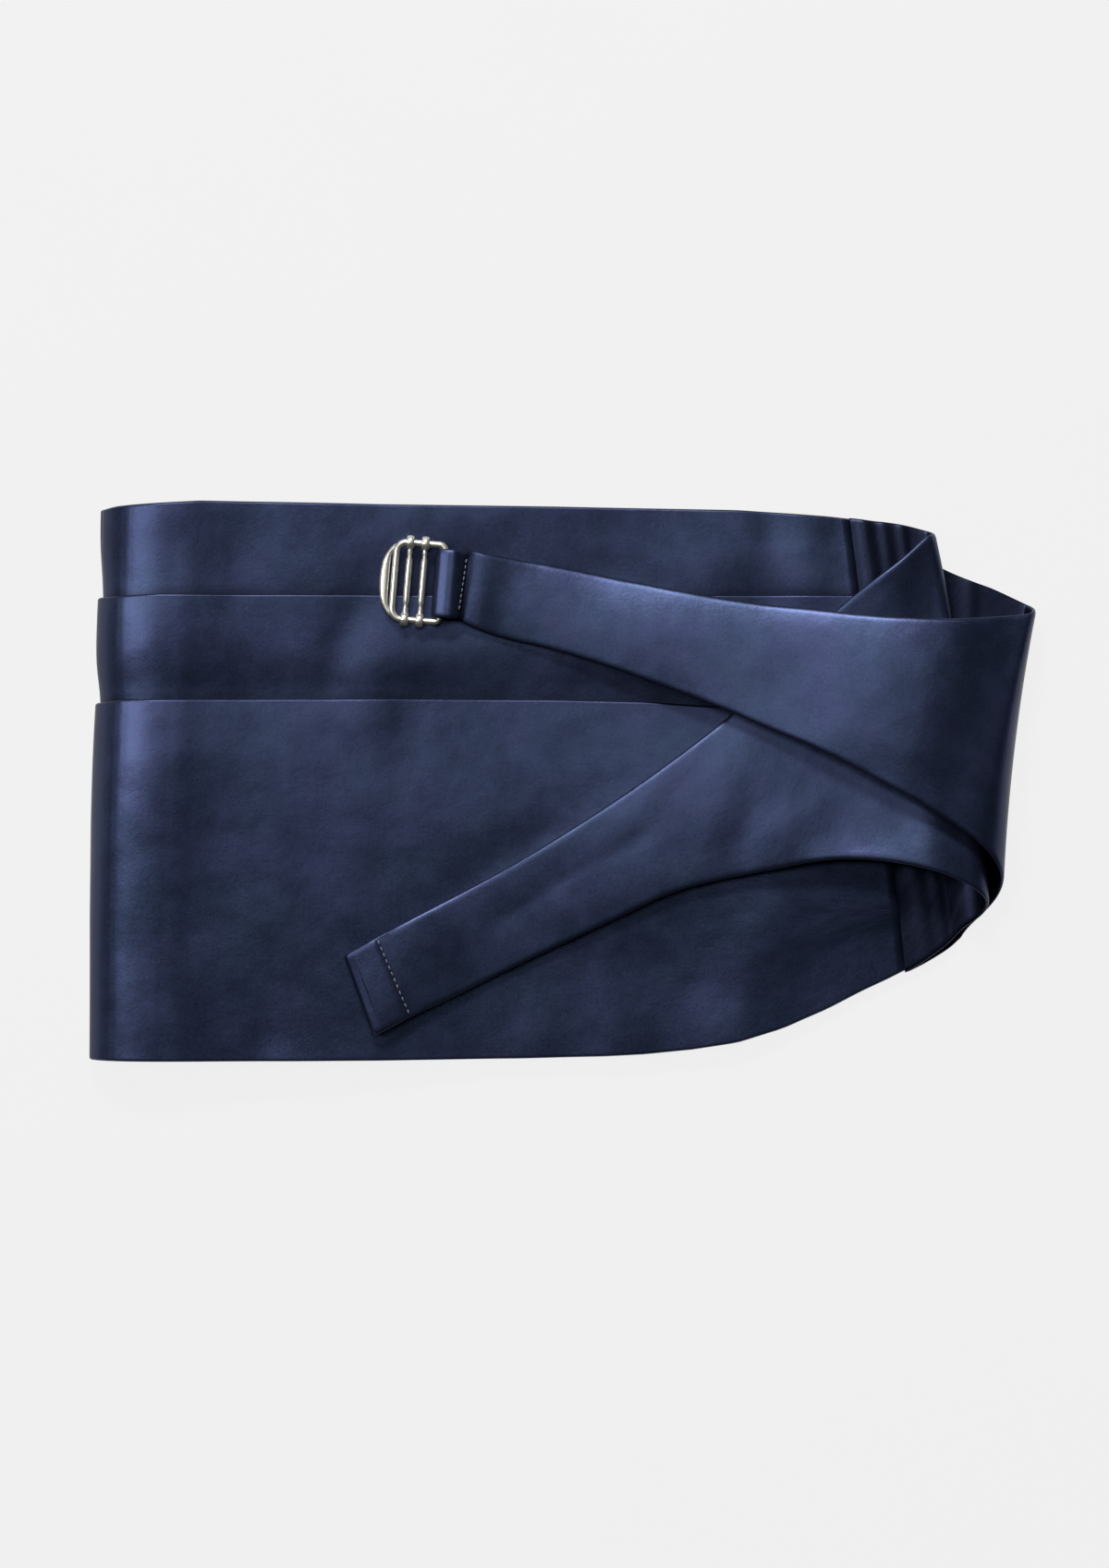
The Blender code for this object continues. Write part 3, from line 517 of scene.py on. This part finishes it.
def front_panel():
    """The front: its pleated section carried along its line, uneven on the half that shows."""
    line, along = front_line()
    run = np.gradient(line, axis=0)
    run[0] = (-1, 0)
    run[-1] = (1, 0)
    run /= np.linalg.norm(run, axis=1, keepdims=True)
    turned = np.argmin(line[:, 0])
    weights, across = section_weights()
    loops = []
    for i, (distance, height) in enumerate(line):
        out_x, out_z = -run[i, 1], run[i, 0]
        beyond = distance if i < turned else -distance
        under = smooth(beyond / PRESSED_OVER + 0.5)
        rows = []
        for name, above, on_top, below in SECTION:
            y = at(LINES[name], row_x(distance, at(LINES[name], row_x(distance, 0.0)))) + above
            out = on_top + (below - on_top) * under
            rows.append((row_x(distance, y) + out_x * out, y, height + out_z * out))
        loop = weights @ np.array(rows)
        lift = np.array([swell(x, y) + creased(x, y, FRONT_CREASES) for x, y in loop[:, :2]]) * (1 - under)
        lift -= at(SEAM_DROP, loop[:, 0]) * lowness(loop[:, 1]) * (1 - under)
        if i > turned:
            lift *= smooth((distance - 1) / 14) * 0.8 + 0.2
            loop[:, 2] += at(FULLER_FOLD, distance)
        loop[:, 0] += out_x * lift
        loop[:, 2] += out_z * lift
        loops.append(loop)
    loops = np.array(loops)
    shape = weights @ section_shape()
    # How near each point of the outer face is to a folded edge, where the material paints shade.
    edges = np.zeros(len(shape))
    outer = shape[:, 1] > 0.2 - WALL / 2
    for edge_line in LINES.values():
        off = shape[:, 0] - at(edge_line, 0.0)
        edges = np.maximum(edges, np.exp(-((off / EDGE_REACH) ** 2)) * outer)
    flat = [Vector((p[1], p[2], 0)) for p in loops[-1]]
    caps = tessellate_polygon([flat])
    across = np.tile(across, (len(loops), 1))
    return cloth_object("front_cloth", loops, along, across, np.tile(edges, len(loops)), caps)


def front_height(x, y):
    """The face that a strap lies on, with the pleats' steps softened as a strap bridges them."""
    if x > seam_x(y):
        return 0.0
    distance = x - fold_x(y)
    if distance > FITTED_FROM:
        share = (distance - FITTED_FROM) / (seam_x(y) - fold_x(y) - FITTED_FROM)
        distance = FITTED_FROM + share * (SEAM_AT - FITTED_FROM)
    face = sorted((at(LINES[line], x) + above, out) for line, above, out in FACE)
    high = at(face, y)
    for line in ("first", "second"):
        above = y - at(LINES[line], x)
        if above > 0:
            high = max(high, STEP * (1 - smooth(above / BRIDGED)))
    return at(FOLD_TURN[LEFTMOST:] + FOLD_OVER[1:], distance) + high


def turn_rows(turn):
    """The rows of a strap's fold, from its lower face over to its upper one."""
    rows = []
    for k in range(TURN_ROWS):
        share = 2 * k / (TURN_ROWS - 1) - 1
        angle = share * math.pi / 2
        row = []
        for edge, start in zip(("upper", "lower"), turn["start"]):
            x, y, radius, reach, swing = turn[edge]
            row += [x + reach * math.cos(angle), y + swing * share, start + radius * (1 + math.sin(angle))]
        rows.append((*row, turn["bow"] * math.cos(angle), 0, turn["crown"] * smooth(share)))
    return rows


def end_rows(upper, lower):
    """The rows round the end of a strap that is turned under: from the upper layer to the lower one."""
    rows = []
    out = np.array(HEM_FACES) * TURNED / 2
    for k in range(1, HEM_ROWS):
        angle = math.pi * k / HEM_ROWS
        push = out * math.sin(angle)
        layers = (1 + math.cos(angle)) / 2
        rows.append((*(upper + push), 0, *(lower + push), 0, 0, layers, 0))
    return rows


def buckle_place(x, y, z=0.0):
    """A point given about the looped bar, in the garment's own lengths."""
    angle = math.radians(BUCKLE_TURNED)
    along = (math.cos(angle), math.sin(angle))
    return (BAR_AT[0] + x * along[0] - y * along[1], BAR_AT[1] + x * along[1] + y * along[0], BAR_AT[2] + z)


def loop_rows():
    """The buckle strap's end: over the bar, round it and back under itself."""
    radius = WIRE + AIR + WALL / 2
    path = [(3.5, 1.25), (2.3, 1.95), (0.9, 1.98)]
    path += [(-radius * math.sin(t), radius * math.cos(t)) for t in np.linspace(0.35, math.pi, 19)]
    path += [(2.4, -radius - 0.1), (5.4, -2.4), (8.4, -3.1)]
    rows = []
    for x, z in path:
        upper = buckle_place(x, LOOP_HALF, z)
        lower = buckle_place(x, -LOOP_HALF, z)
        rows.append((*upper, *lower, 0, 0, 0))
    return rows


def in_full(rows):
    """A table's rows in full: both edges, no bow, the layers below and the crown, or 0 for both."""
    return [(*row[:6], 0.0, *(row[6:] or (0, 0))) for row in rows]


def strap_middle(rows, gathers, folds_from, rests_from):
    """The middle of a strap's wall, each point's distance from the nearer edge, and the lowest it can lie."""
    grid = []
    inner = []
    floors = []
    for i, row in enumerate(rows):
        upper, lower, bow, layers, crown = row[:3], row[3:6], row[6], row[7], row[8]
        width = np.linalg.norm(lower - upper)
        places = np.array(EDGE_PLACES)
        between = np.linspace(places[-1], width - places[-1], MIDDLE_PLACES + 2)[1:-1]
        shares = np.concatenate([places, between, width - places[::-1]]) / width
        full = smooth((folds_from - i) / RUN_OUT_ROWS)
        line = []
        floor = []
        for share in shares:
            point = upper * (1 - share) + lower * share
            held = min(max(share, 0.0), 1.0)
            point[0] += 4 * held * (1 - held) * bow
            point[2] += 4 * held * (1 - held) * crown
            rest = -WALL
            if i >= rests_from:
                ridge = max(creased(point[0], point[1], FRONT_CREASES), 0)
                rest = front_height(point[0], point[1]) + ridge + ON_TOP + TURNED * layers
                point[2] = max(point[2], rest)
            else:
                past = point[0] - seam_x(point[1])
                room = max(point[2] - OUT_LOWEST, 0.0)
                drop = min(SEAM_DROP[-1][1], room) * lowness(point[1])
                point[2] -= drop * math.exp(-((past / DROP_REACH) ** 2)) * full
                for top, bottom, high, wide in gathers:
                    off = past - (top + (bottom - top) * held)
                    high = high * (1 - LOWER_CALM * held)
                    point[2] += high * math.exp(-((off / wide) ** 2)) * full
            line.append(point)
            floor.append(rest)
        grid.append(line)
        floors.append(floor)
        inner.append(np.minimum(shares, 1 - shares) * width)
    return np.array(grid), np.array(inner), np.array(floors)


def eased(grid, freedom):
    """The grid with its rows drawn towards their neighbours, each as far as its freedom lets it."""
    grid = grid.copy()
    for _ in range(EASINGS):
        middle = (grid[:-2] + grid[2:]) / 2
        grid[1:-1] += (middle - grid[1:-1]) * freedom[1:-1, None, None] * 0.5
    return grid


def strap_shell(name, middle, inner, along, crowned):
    """A closed shell round a wall that is centred on this grid, with rounded edges and a swelling face."""
    down = np.gradient(middle, axis=0)
    side = np.gradient(middle, axis=1)
    out = np.cross(down, side)
    out /= np.linalg.norm(out, axis=2, keepdims=True)
    rise = np.clip((inner + EDGE) / ROUNDED_WITHIN, 0, 1)
    half = WALL / 2 * np.sqrt(1 - (1 - rise) ** 2)
    share = np.clip(inner / inner.max(axis=1, keepdims=True), 0, 1)
    swelling = CROWN * (1 - (1 - share) ** 2) * crowned[:, None]
    face = middle + out * (half + swelling)[:, :, None]
    back = middle - out * half[:, :, None]
    loops = np.concatenate([face, back[:, -2:0:-1]], axis=1)
    round_it = np.concatenate([loops, loops[:, :1]], axis=1)
    gaps = np.linalg.norm(np.diff(round_it, axis=1), axis=2)
    across = np.concatenate([np.zeros((len(gaps), 1)), np.cumsum(gaps, axis=1)], axis=1)
    across -= across[:, middle.shape[1] // 2, None]
    # How near each point is to a folded edge, where the material paints shade.
    near = np.exp(-((np.maximum(inner + EDGE, 0) / EDGE_REACH) ** 2))
    edges = np.concatenate([near, near[:, -2:0:-1]], axis=1)
    count = middle.shape[1]
    last = loops.shape[1]
    caps = [(j, j + 1, last - j - 1, (last - j) % last) for j in range(1, count - 2)]
    caps += [(0, 1, last - 1), (count - 2, count - 1, count)]
    # The back half of each loop is marked for the inner side's painted shade.
    inner_side = np.zeros(loops.shape[:2])
    inner_side[:, count:] = 1
    return cloth_object(name, loops, along, across, edges, caps, inner_side)


def dented(face, start, end, depth, wide, side_depth, side_wide):
    """Lowers points along a row of stitches, and more softly beside it: to its left, seen from its start."""
    start, end = np.array(start), np.array(end)
    run = (end - start) / np.linalg.norm(end - start)
    past = face[..., :2] - start
    along = past @ run
    off = past @ np.array((-run[1], run[0]))
    within = smooth((along + 1.5) / 2) * smooth((np.linalg.norm(end - start) - along + 1.5) / 2)
    dip = depth * np.exp(-((off / wide) ** 2))
    dip += side_depth * np.exp(-(((off - side_wide) / side_wide) ** 2))
    face[..., 2] -= dip * within


def strap(name, stretches, gathers, give, stitches, creases):
    """A strap from its stretches: out from the seam, round the fold and back. give says how far each row
    eases towards its neighbours, and how much of the unevenness it takes.
    """
    freedom, uneven = give
    folds = len(stretches[0])
    rests = folds + len(stretches[1])
    middle, inner, floors = strap_middle(np.vstack(stretches), gathers, folds, rests)
    middle = eased(middle, freedom)
    for i in range(rests, len(middle)):
        settled = smooth((i - rests) / SETTLING_ROWS) * uneven[i]
        for point, floor in zip(middle[i], floors[i]):
            rest = floor + swell(point[0], point[1]) * settled
            point[2] += (swell(point[0], point[1]) + creased(point[0], point[1], creases)) * settled
            point[2] = max(point[2], rest)
    crowned = np.zeros(len(middle))
    crowned[rests:] = smooth(np.arange(len(middle) - rests) / CROWNING_ROWS)
    crowned *= freedom
    dented(middle[rests:], *stitches)
    along = lengths_along(middle[:, middle.shape[1] // 2])
    return strap_shell(name, middle, inner, along, crowned)


def plain_strap():
    """The strap that ends in a hem."""
    out = curve_through(in_full(PLAIN_STRAP_OUT), PLAIN_OUT_PARTS)
    out[0, [0, 3]] -= SEWN_CLOSE
    turn = turn_rows(PLAIN_TURN)
    hem = PLAIN_STRAP_BACK[-1]
    back = curve_through([turn[-1], *in_full(PLAIN_STRAP_BACK)], BACK_PARTS)
    round_end = end_rows(np.array(hem[:2]), np.array(hem[3:5]))
    under = curve_through(in_full(PLAIN_STRAP_UNDER), UNDER_PARTS)
    back = np.vstack([back[1:], round_end, under])
    count = len(out) + len(turn) + len(back)
    freedom = np.ones(count)
    freedom[-len(round_end) - len(under) - HELD_AT_HEM:] = 0
    stitches = (*HEM_STITCHES[:2], *HEM_DENT)
    return strap("plain_strap_cloth", (out, turn, back), PLAIN_GATHERS, (freedom, np.ones(count)), stitches,
                 PLAIN_CREASES)


def buckle_strap():
    """The strap that ends in a loop round the buckle's bar."""
    out = curve_through(in_full(BUCKLE_STRAP_OUT), BUCKLE_OUT_PARTS)
    out[0, [0, 3]] -= SEWN_CLOSE
    turn = turn_rows(BUCKLE_TURN)
    loop = loop_rows()
    back = curve_through([turn[-1], *in_full(BUCKLE_STRAP_BACK), *loop[:3]], BACK_PARTS)
    back = np.vstack([back[1:], loop[3:]])
    count = len(out) + len(turn) + len(back)
    freedom = smooth((count - len(loop) - HELD_AT_LOOP - np.arange(count)) / FREED_OVER)
    stitches = (*LOOP_STITCHES[:2], *LOOP_DENT)
    return strap("buckle_strap_cloth", (out, turn, back), BUCKLE_GATHERS, (freedom, freedom), stitches,
                 BUCKLE_CREASES)


def deselect():
    for obj in list(bpy.context.selected_objects):
        obj.select_set(False)


def selected(obj):
    """Selects this object alone."""
    deselect()
    bpy.context.view_layer.objects.active = obj
    obj.select_set(True)


def begun(name, scale=(1, 1, 1)):
    """Names and scales the ring that was just added, and starts to edit it."""
    made = bpy.context.object
    made.name = name
    made.scale = scale
    bpy.ops.object.transform_apply(location=True, rotation=True, scale=True)
    bpy.ops.object.mode_set(mode="EDIT")
    bpy.ops.mesh.select_all(action="SELECT")
    return made


def ended(merged=0.0):
    """Ends the edit: merges points nearer than this, and turns every face outwards."""
    bpy.ops.mesh.select_all(action="SELECT")
    if merged:
        bpy.ops.mesh.remove_doubles(threshold=merged * MM)
    bpy.ops.mesh.normals_make_consistent(inside=False)
    bpy.ops.object.mode_set(mode="OBJECT")


def wire_frame():
    """The buckle's bent wire: a ring drawn along each side and spun round each corner."""
    deselect()
    near, far = NEAR_CORNERS, FAR_CORNERS
    leg_parts, corner_parts = 6, 9
    bpy.ops.mesh.primitive_circle_add(vertices=18, radius=WIRE * MM, rotation=(math.pi / 2, 0, 0),
                                      location=(0, (near - RAIL_AT) * MM, 0))
    wire = begun("buckle_wire")
    legs = (((0, 2 * (RAIL_AT - near), 0), (-near, RAIL_AT - near)),
            ((near + far - FRAME_WIDTH, 0, 0), (far - FRAME_WIDTH, RAIL_AT - far)),
            ((0, 2 * (far - RAIL_AT), 0), (far - FRAME_WIDTH, far - RAIL_AT)),
            ((FRAME_WIDTH - near - far, 0, 0), (-near, near - RAIL_AT)))
    for leg, centre in legs:
        step = [length * MM / leg_parts for length in leg]
        for _ in range(leg_parts):
            bpy.ops.mesh.extrude_region_move(TRANSFORM_OT_translate={"value": step})
        bpy.ops.mesh.spin(steps=corner_parts, angle=-math.pi / 2, axis=(0, 0, 1),
                          center=(centre[0] * MM, centre[1] * MM, 0))
    ended(0.02)
    return wire


def mirrored(half):
    """Both halves of a bar's stations, from those of one end to its middle."""
    return [*half, *((-y, *others) for y, *others in half[::-1] if y)]


def drawn_out(name, sides, stations):
    """A bar drawn along y from a filled ring. Each station gives x, y and z, and half the bar's width and
    thickness there.
    """
    deselect()
    x, y, z, wide, thick = stations[0]
    bpy.ops.mesh.primitive_circle_add(vertices=sides, radius=MM, fill_type="NGON",
                                      location=(x * MM, y * MM, z * MM), rotation=(math.pi / 2, 0, 0))
    bar = begun(name, (wide, thick, 1))
    for here, there in zip(stations, stations[1:]):
        step = [(b - a) * MM for a, b in zip(here[:3], there[:3])]
        bpy.ops.mesh.extrude_region_move(TRANSFORM_OT_translate={"value": step})
        grow = (there[3] / here[3], 1, there[4] / here[4])
        bpy.ops.transform.resize(value=grow, center_override=[c * MM for c in there[:3]])
    ended()
    return bar


def eye_ring(name, x, y):
    """The eye at a slide bar's end, spun round the rail that it slides on."""
    deselect()
    middle = (RING_INNER + RING_OUTER) / 2
    bpy.ops.mesh.primitive_circle_add(vertices=10, radius=MM, location=(x * MM, (y + middle) * MM, 0))
    ring = begun(name, (RING_HALF * 0.9, (RING_OUTER - RING_INNER) / 2, 1))
    bpy.ops.mesh.spin(steps=28, angle=2 * math.pi, center=(x * MM, y * MM, 0), axis=(1, 0, 0))
    ended(0.01)
    return ring


def united(obj, others):
    """One body of these, by Boolean union."""
    for other in others:
        selected(obj)
        union = obj.modifiers.new("union", "BOOLEAN")
        union.operation = "UNION"
        union.solver = "EXACT"
        union.object = other
        bpy.ops.object.modifier_apply(modifier="union")
        bpy.data.objects.remove(other, do_unlink=True)


def placed(obj):
    """Shades a piece of the buckle smoothly, and puts it where the bar in the strap's loop holds it."""
    selected(obj)
    bpy.ops.object.shade_smooth_by_angle(angle=math.radians(50))
    turn = Matrix.Rotation(math.radians(BUCKLE_TURNED), 4, "Z")
    turn = turn @ Matrix.Rotation(math.radians(BUCKLE_TILT), 4, "Y")
    obj.matrix_world = Matrix.Translation(Vector(BAR_AT) * MM) @ turn
    bpy.ops.object.transform_apply(location=True, rotation=True, scale=True)
    return obj


def push_tab():
    """The crescent that a finger pushes, beside the frame's far bar."""
    stations = []
    for y, outer, inner in mirrored(TAB_STATIONS):
        stations.append(((outer + inner) / 2, y, 0, (inner - outer) / 2, TAB_HALF))
    return drawn_out("push_tab", 12, stations)


def buckle_frame():
    """The bent wire and its push tab, as one piece."""
    wire = wire_frame()
    united(wire, [push_tab()])
    return placed(wire)


def slide_bar(name, x):
    """A round bar, crimped beside the eyes at its ends."""
    stations = [(x, y, 0, SLIDE_WIRE * w, SLIDE_WIRE * t) for y, w, t in mirrored(SLIDE_STATIONS)]
    bar = drawn_out(name, 18, stations)
    united(bar, [eye_ring(f"{name}_eye", x, y) for y in (RAIL_AT, -RAIL_AT)])
    return placed(bar)


def stitch():
    """One stitch of thread, arched between its two needle holes."""
    stations = [(0, y, z, r, r) for y, z, r in mirrored(STITCH_STATIONS)]
    return drawn_out("stitch", 8, stations)


def stitch_row(name, row, cloth):
    """Copies of a stitch along a row, each lying on the cloth below it, joined to one piece."""
    start, end, count = row
    start, end = Vector((*start, 0)) * MM, Vector((*end, 0)) * MM
    run = (end - start) / count
    turn = math.atan2(run.y, run.x) - math.pi / 2
    first = stitch()
    copies = []
    for k in range(count):
        where = start + run * (k + 0.5)
        wobble = noise.noise(Vector((k * 1.7, 0.4, 2.1)))
        _, point, _, _ = cloth.ray_cast(Vector((where.x, where.y, 0.1)), Vector((0, 0, -1)))
        copy = linked(f"{name}_{k}", first.data.copy())
        turned = Matrix.Rotation(turn + STITCH_WOBBLE * wobble, 4, "Z")
        copy.data.transform(Matrix.Translation(point) @ turned)
        copies.append(copy)
    bpy.data.objects.remove(first, do_unlink=True)
    deselect()
    for copy in copies:
        copy.select_set(True)
    bpy.context.view_layer.objects.active = copies[0]
    bpy.ops.object.join()
    made = bpy.context.object
    made.name = name
    bpy.ops.object.shade_smooth()
    return made


class Value:
    """A number in a material, which can be added to and multiplied."""

    def __init__(self, finish, socket):
        self.finish = finish
        self.socket = socket

    def maths(self, operation, first, second):
        node = self.finish.node("Math", {"operation": operation}, {0: first, 1: second})
        return Value(self.finish, node.outputs[0])

    def __add__(self, other):
        return self.maths("ADD", self, other)

    __radd__ = __add__

    def __sub__(self, other):
        return self.maths("SUBTRACT", self, other)

    def __mul__(self, other):
        return self.maths("MULTIPLY", self, other)

    def between(self, low, high):
        """0 below low, 1 above high, and smooth between."""
        sockets = {"Value": self, "From Min": low, "From Max": high}
        node = self.finish.node("MapRange", {"interpolation_type": "SMOOTHSTEP"}, sockets)
        return Value(self.finish, node.outputs["Result"])


class Finish:
    """A material in the making."""

    def __init__(self, name, **sockets):
        self.material = bpy.data.materials.new(name)
        self.material.use_nodes = True
        self.tree = self.material.node_tree
        self.shader = self.tree.nodes["Principled BSDF"]
        for socket, value in sockets.items():
            self.shader.inputs[socket.replace("_", " ")].default_value = value

    def node(self, kind, settings=None, sockets=None):
        made = self.tree.nodes.new(f"ShaderNode{kind}")
        for key, value in (settings or {}).items():
            setattr(made, key, value)
        for key, value in (sockets or {}).items():
            self.feed(made.inputs[key], value)
        return made

    def feed(self, socket, value):
        if isinstance(value, Value):
            self.tree.links.new(value.socket, socket)
        elif isinstance(value, bpy.types.NodeSocket):
            self.tree.links.new(value, socket)
        else:
            socket.default_value = value

    def stretched(self, where, by):
        """The coordinates, drawn out by this much in each direction."""
        return self.node("Mapping", None, {"Vector": where, "Scale": by}).outputs["Vector"]

    def cloudy(self, where, scale, detail=2.0, roughness=0.5):
        """Noise about 0, mostly between -0.5 and 0.5."""
        sockets = {"Vector": where, "Scale": scale, "Detail": detail, "Roughness": roughness}
        node = self.node("TexNoise", None, sockets)
        return Value(self, node.outputs["Fac"]) - 0.5

    def ribs(self, where, scale, distortion):
        """Slanting ribs about 0, from -0.5 to 0.5."""
        sockets = {"Vector": where, "Scale": scale, "Distortion": distortion, "Detail": 1.0}
        node = self.node("TexWave", {"bands_direction": "DIAGONAL"}, sockets)
        return Value(self, node.outputs["Fac"]) - 0.5

    def blended(self, share, first, second):
        """One colour over to another. The numbers are a Mix node's sockets for its factor and for colours."""
        made = self.node("Mix", {"data_type": "RGBA"})
        for place, value in ((0, share), (6, first), (7, second)):
            self.feed(made.inputs[place], (*value, 1) if isinstance(value, tuple) else value)
        return made.outputs[2]

    def raised(self, height):
        """Small relief, from a height in millimetres."""
        bump = self.node("Bump", None, {"Height": height, "Distance": MM, "Strength": 1.0})
        self.feed(self.shader.inputs["Normal"], bump.outputs["Normal"])

    def set(self, **sockets):
        for socket, value in sockets.items():
            self.feed(self.shader.inputs[socket.replace("_", " ")], value)


def satin():
    """Navy satin: floats of fine thread, with soft patches where they lie differently. Painted shade darkens
    it along folded edges, at grazing angles and on the straps' inner side.
    """
    finish = Finish("navy_satin_weave", Metallic=0.85, IOR=1.5)
    cloth = finish.node("UVMap", {"uv_map": "cloth"}).outputs["UV"]
    edge = Value(finish, finish.node("Attribute", {"attribute_name": "edge"}).outputs["Fac"])
    slow = finish.cloudy(cloth, 0.032, 2.0, 0.5)
    tint = finish.cloudy(cloth, 0.05, 1.0)
    patch = finish.cloudy(cloth, 0.17, 3.0, 0.6)
    grain = finish.cloudy(cloth, 1.5, 2.0, 0.7)
    floats = finish.cloudy(finish.stretched(cloth, (0.9, 4.5, 1.0)), 0.9, 1.0, 0.6)
    twill = finish.ribs(cloth, 0.9, 0.8)
    tone = (0.5 + slow * 1.1 + patch * 0.8 + grain * 0.9 + floats * 0.12 + twill * 0.02).between(0.0, 1.0)
    hue = (0.5 + tint * 3.0).between(0.0, 1.0)
    colour = finish.blended(tone, finish.blended(hue, *DARK_TONES), finish.blended(hue, *LIGHT_TONES))
    # Painted shade: near folded edges the colour darkens, which dims the light that they catch.
    edge_shaded = finish.blended(edge * 0.75, colour, EDGE_SHADE_TONE)
    # Painted shade: where the cloth is seen at a grazing angle its colour darkens.
    turned = Value(finish, finish.node("LayerWeight", None, {"Blend": 0.5}).outputs["Facing"])
    grazing_shaded = finish.blended((turned * 1.5).between(0.1, 1.1), edge_shaded, GRAZING_SHADE_TONE)
    # Painted shade: the straps' inner side is darkened as if it lay in shadow.
    inner_shade_mask = Value(finish, finish.node("Attribute", {"attribute_name": "inner_side"}).outputs["Fac"])
    inner_shaded = finish.blended(inner_shade_mask * 0.8, grazing_shaded, INNER_SHADE_TONE)
    finish.set(Base_Color=inner_shaded, Roughness=0.40 + patch * 0.10 + grain * 0.10)
    relief = slow * 0.9 + patch * 0.10 + grain * 0.020 + floats * 0.003 + twill * 0.001
    finish.raised(relief)
    return finish.material


def nickel():
    """Polished wire with fine rubbing marks."""
    finish = Finish("silver_wire", Metallic=0.8, IOR=1.5)
    where = finish.node("TexCoord").outputs["Object"]
    cloud = finish.cloudy(where, 900.0, 2.0)
    rubbed = finish.cloudy(finish.stretched(where, (1.0, 0.15, 1.0)), 5200.0, 2.0, 0.6)
    colour = finish.blended((0.5 + cloud * 1.2).between(0.0, 1.0), (0.78, 0.75, 0.66), (0.92, 0.90, 0.82))
    finish.set(Base_Color=colour, Roughness=0.30 + rubbed * 0.10 + cloud * 0.06)
    finish.raised(rubbed * 0.004 + cloud * 0.006)
    return finish.material


def thread():
    """Grey-blue sewing thread, twisted from plies."""
    finish = Finish("sewing_thread", Sheen_Weight=0.2, IOR=1.5)
    where = finish.node("TexCoord").outputs["Object"]
    ply = finish.ribs(where, 1500.0, 0.4)
    colour = finish.blended((0.5 + ply).between(0.0, 1.0), (0.10, 0.11, 0.15), (0.26, 0.27, 0.32))
    finish.set(Base_Color=colour, Roughness=0.42 + ply * 0.1)
    finish.raised(ply * 0.02)
    return finish.material


def pale_floor():
    """The white table, which glows so that it stays evenly pale."""
    finish = Finish("pale_floor", Roughness=0.9, Specular_IOR_Level=0.0, Emission_Strength=FLOOR_GLOW)
    where = finish.node("TexCoord").outputs["Object"]
    mottle = finish.cloudy(where, 30.0, 2.0)
    tone = finish.blended((0.5 + mottle).between(0.0, 1.0), (0.040, 0.040, 0.040), (0.044, 0.044, 0.044))
    finish.set(Base_Color=tone, Emission_Color=(1.0, 1.0, 1.0, 1.0))
    return finish.material


def area_light(name, place, size, power, colour):
    """A softbox that faces the middle of the garment."""
    lamp = bpy.data.lights.new(name, "AREA")
    lamp.shape = "RECTANGLE"
    lamp.size, lamp.size_y = size
    lamp.energy = power
    lamp.color = colour
    holder = linked(name, lamp)
    holder.location = place
    holder.rotation_euler = (-Vector(place)).to_track_quat("-Z", "Y").to_euler()


def studio():
    """The floor, the softboxes, the air round them and the camera."""
    bpy.ops.mesh.primitive_plane_add(size=6, location=(0, 0, -0.0002))
    floor = bpy.context.object
    floor.name = "floor"
    bpy.ops.object.transform_apply(location=True, rotation=True, scale=True)
    floor.data.materials.append(pale_floor())
    for light in LIGHTS:
        area_light(*light)
    world = bpy.data.worlds.new("studio_air")
    world.use_nodes = True
    air = world.node_tree.nodes["Background"].inputs
    air["Color"].default_value = (*AIR_COLOUR, 1)
    air["Strength"].default_value = AIR_STRENGTH
    bpy.context.scene.world = world
    bpy.context.scene.view_settings.view_transform = "Standard"
    eye = bpy.data.cameras.new("camera")
    eye.sensor_width = 36
    eye.lens = CAMERA_LENS
    bpy.context.scene.camera = linked("camera", eye)
    bpy.context.scene.camera.location = CAMERA_AT


def dressed(obj, paint, body, slot, *nodes):
    """Gives a piece its material and its body, and hides the nodes of the solids that it replaces. slot is
    not used.
    """
    obj.data.materials.clear()
    obj.data.materials.append(paint)
    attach(obj, body)
    if nodes:
        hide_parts(*nodes)
    return obj


def garment():
    """All the pieces: the cloth, its stitches and the buckle, each with its material and body."""
    deselect()
    weave, silver, yarn = satin(), nickel(), thread()
    front = dressed(front_panel(), weave, "root", "navy_satin", "front_panel")
    plain = dressed(plain_strap(), weave, "root", "navy_satin", "plain_strap")
    looped = dressed(buckle_strap(), weave, "root", "navy_satin", "buckle_strap")
    bpy.context.view_layer.update()
    hem = dressed(stitch_row("hem_stitches", HEM_STITCHES, plain), yarn, "root", "navy_satin")
    loop = dressed(stitch_row("loop_stitches", LOOP_STITCHES, looped), yarn, "root", "navy_satin")
    dressed(buckle_frame(), silver, "buckle", "silver_metal", "buckle_frame")
    for name, x in SLIDES_AT:
        dressed(slide_bar(f"{name}_wire", x), silver, "buckle", "silver_metal", name)


studio()
garment()
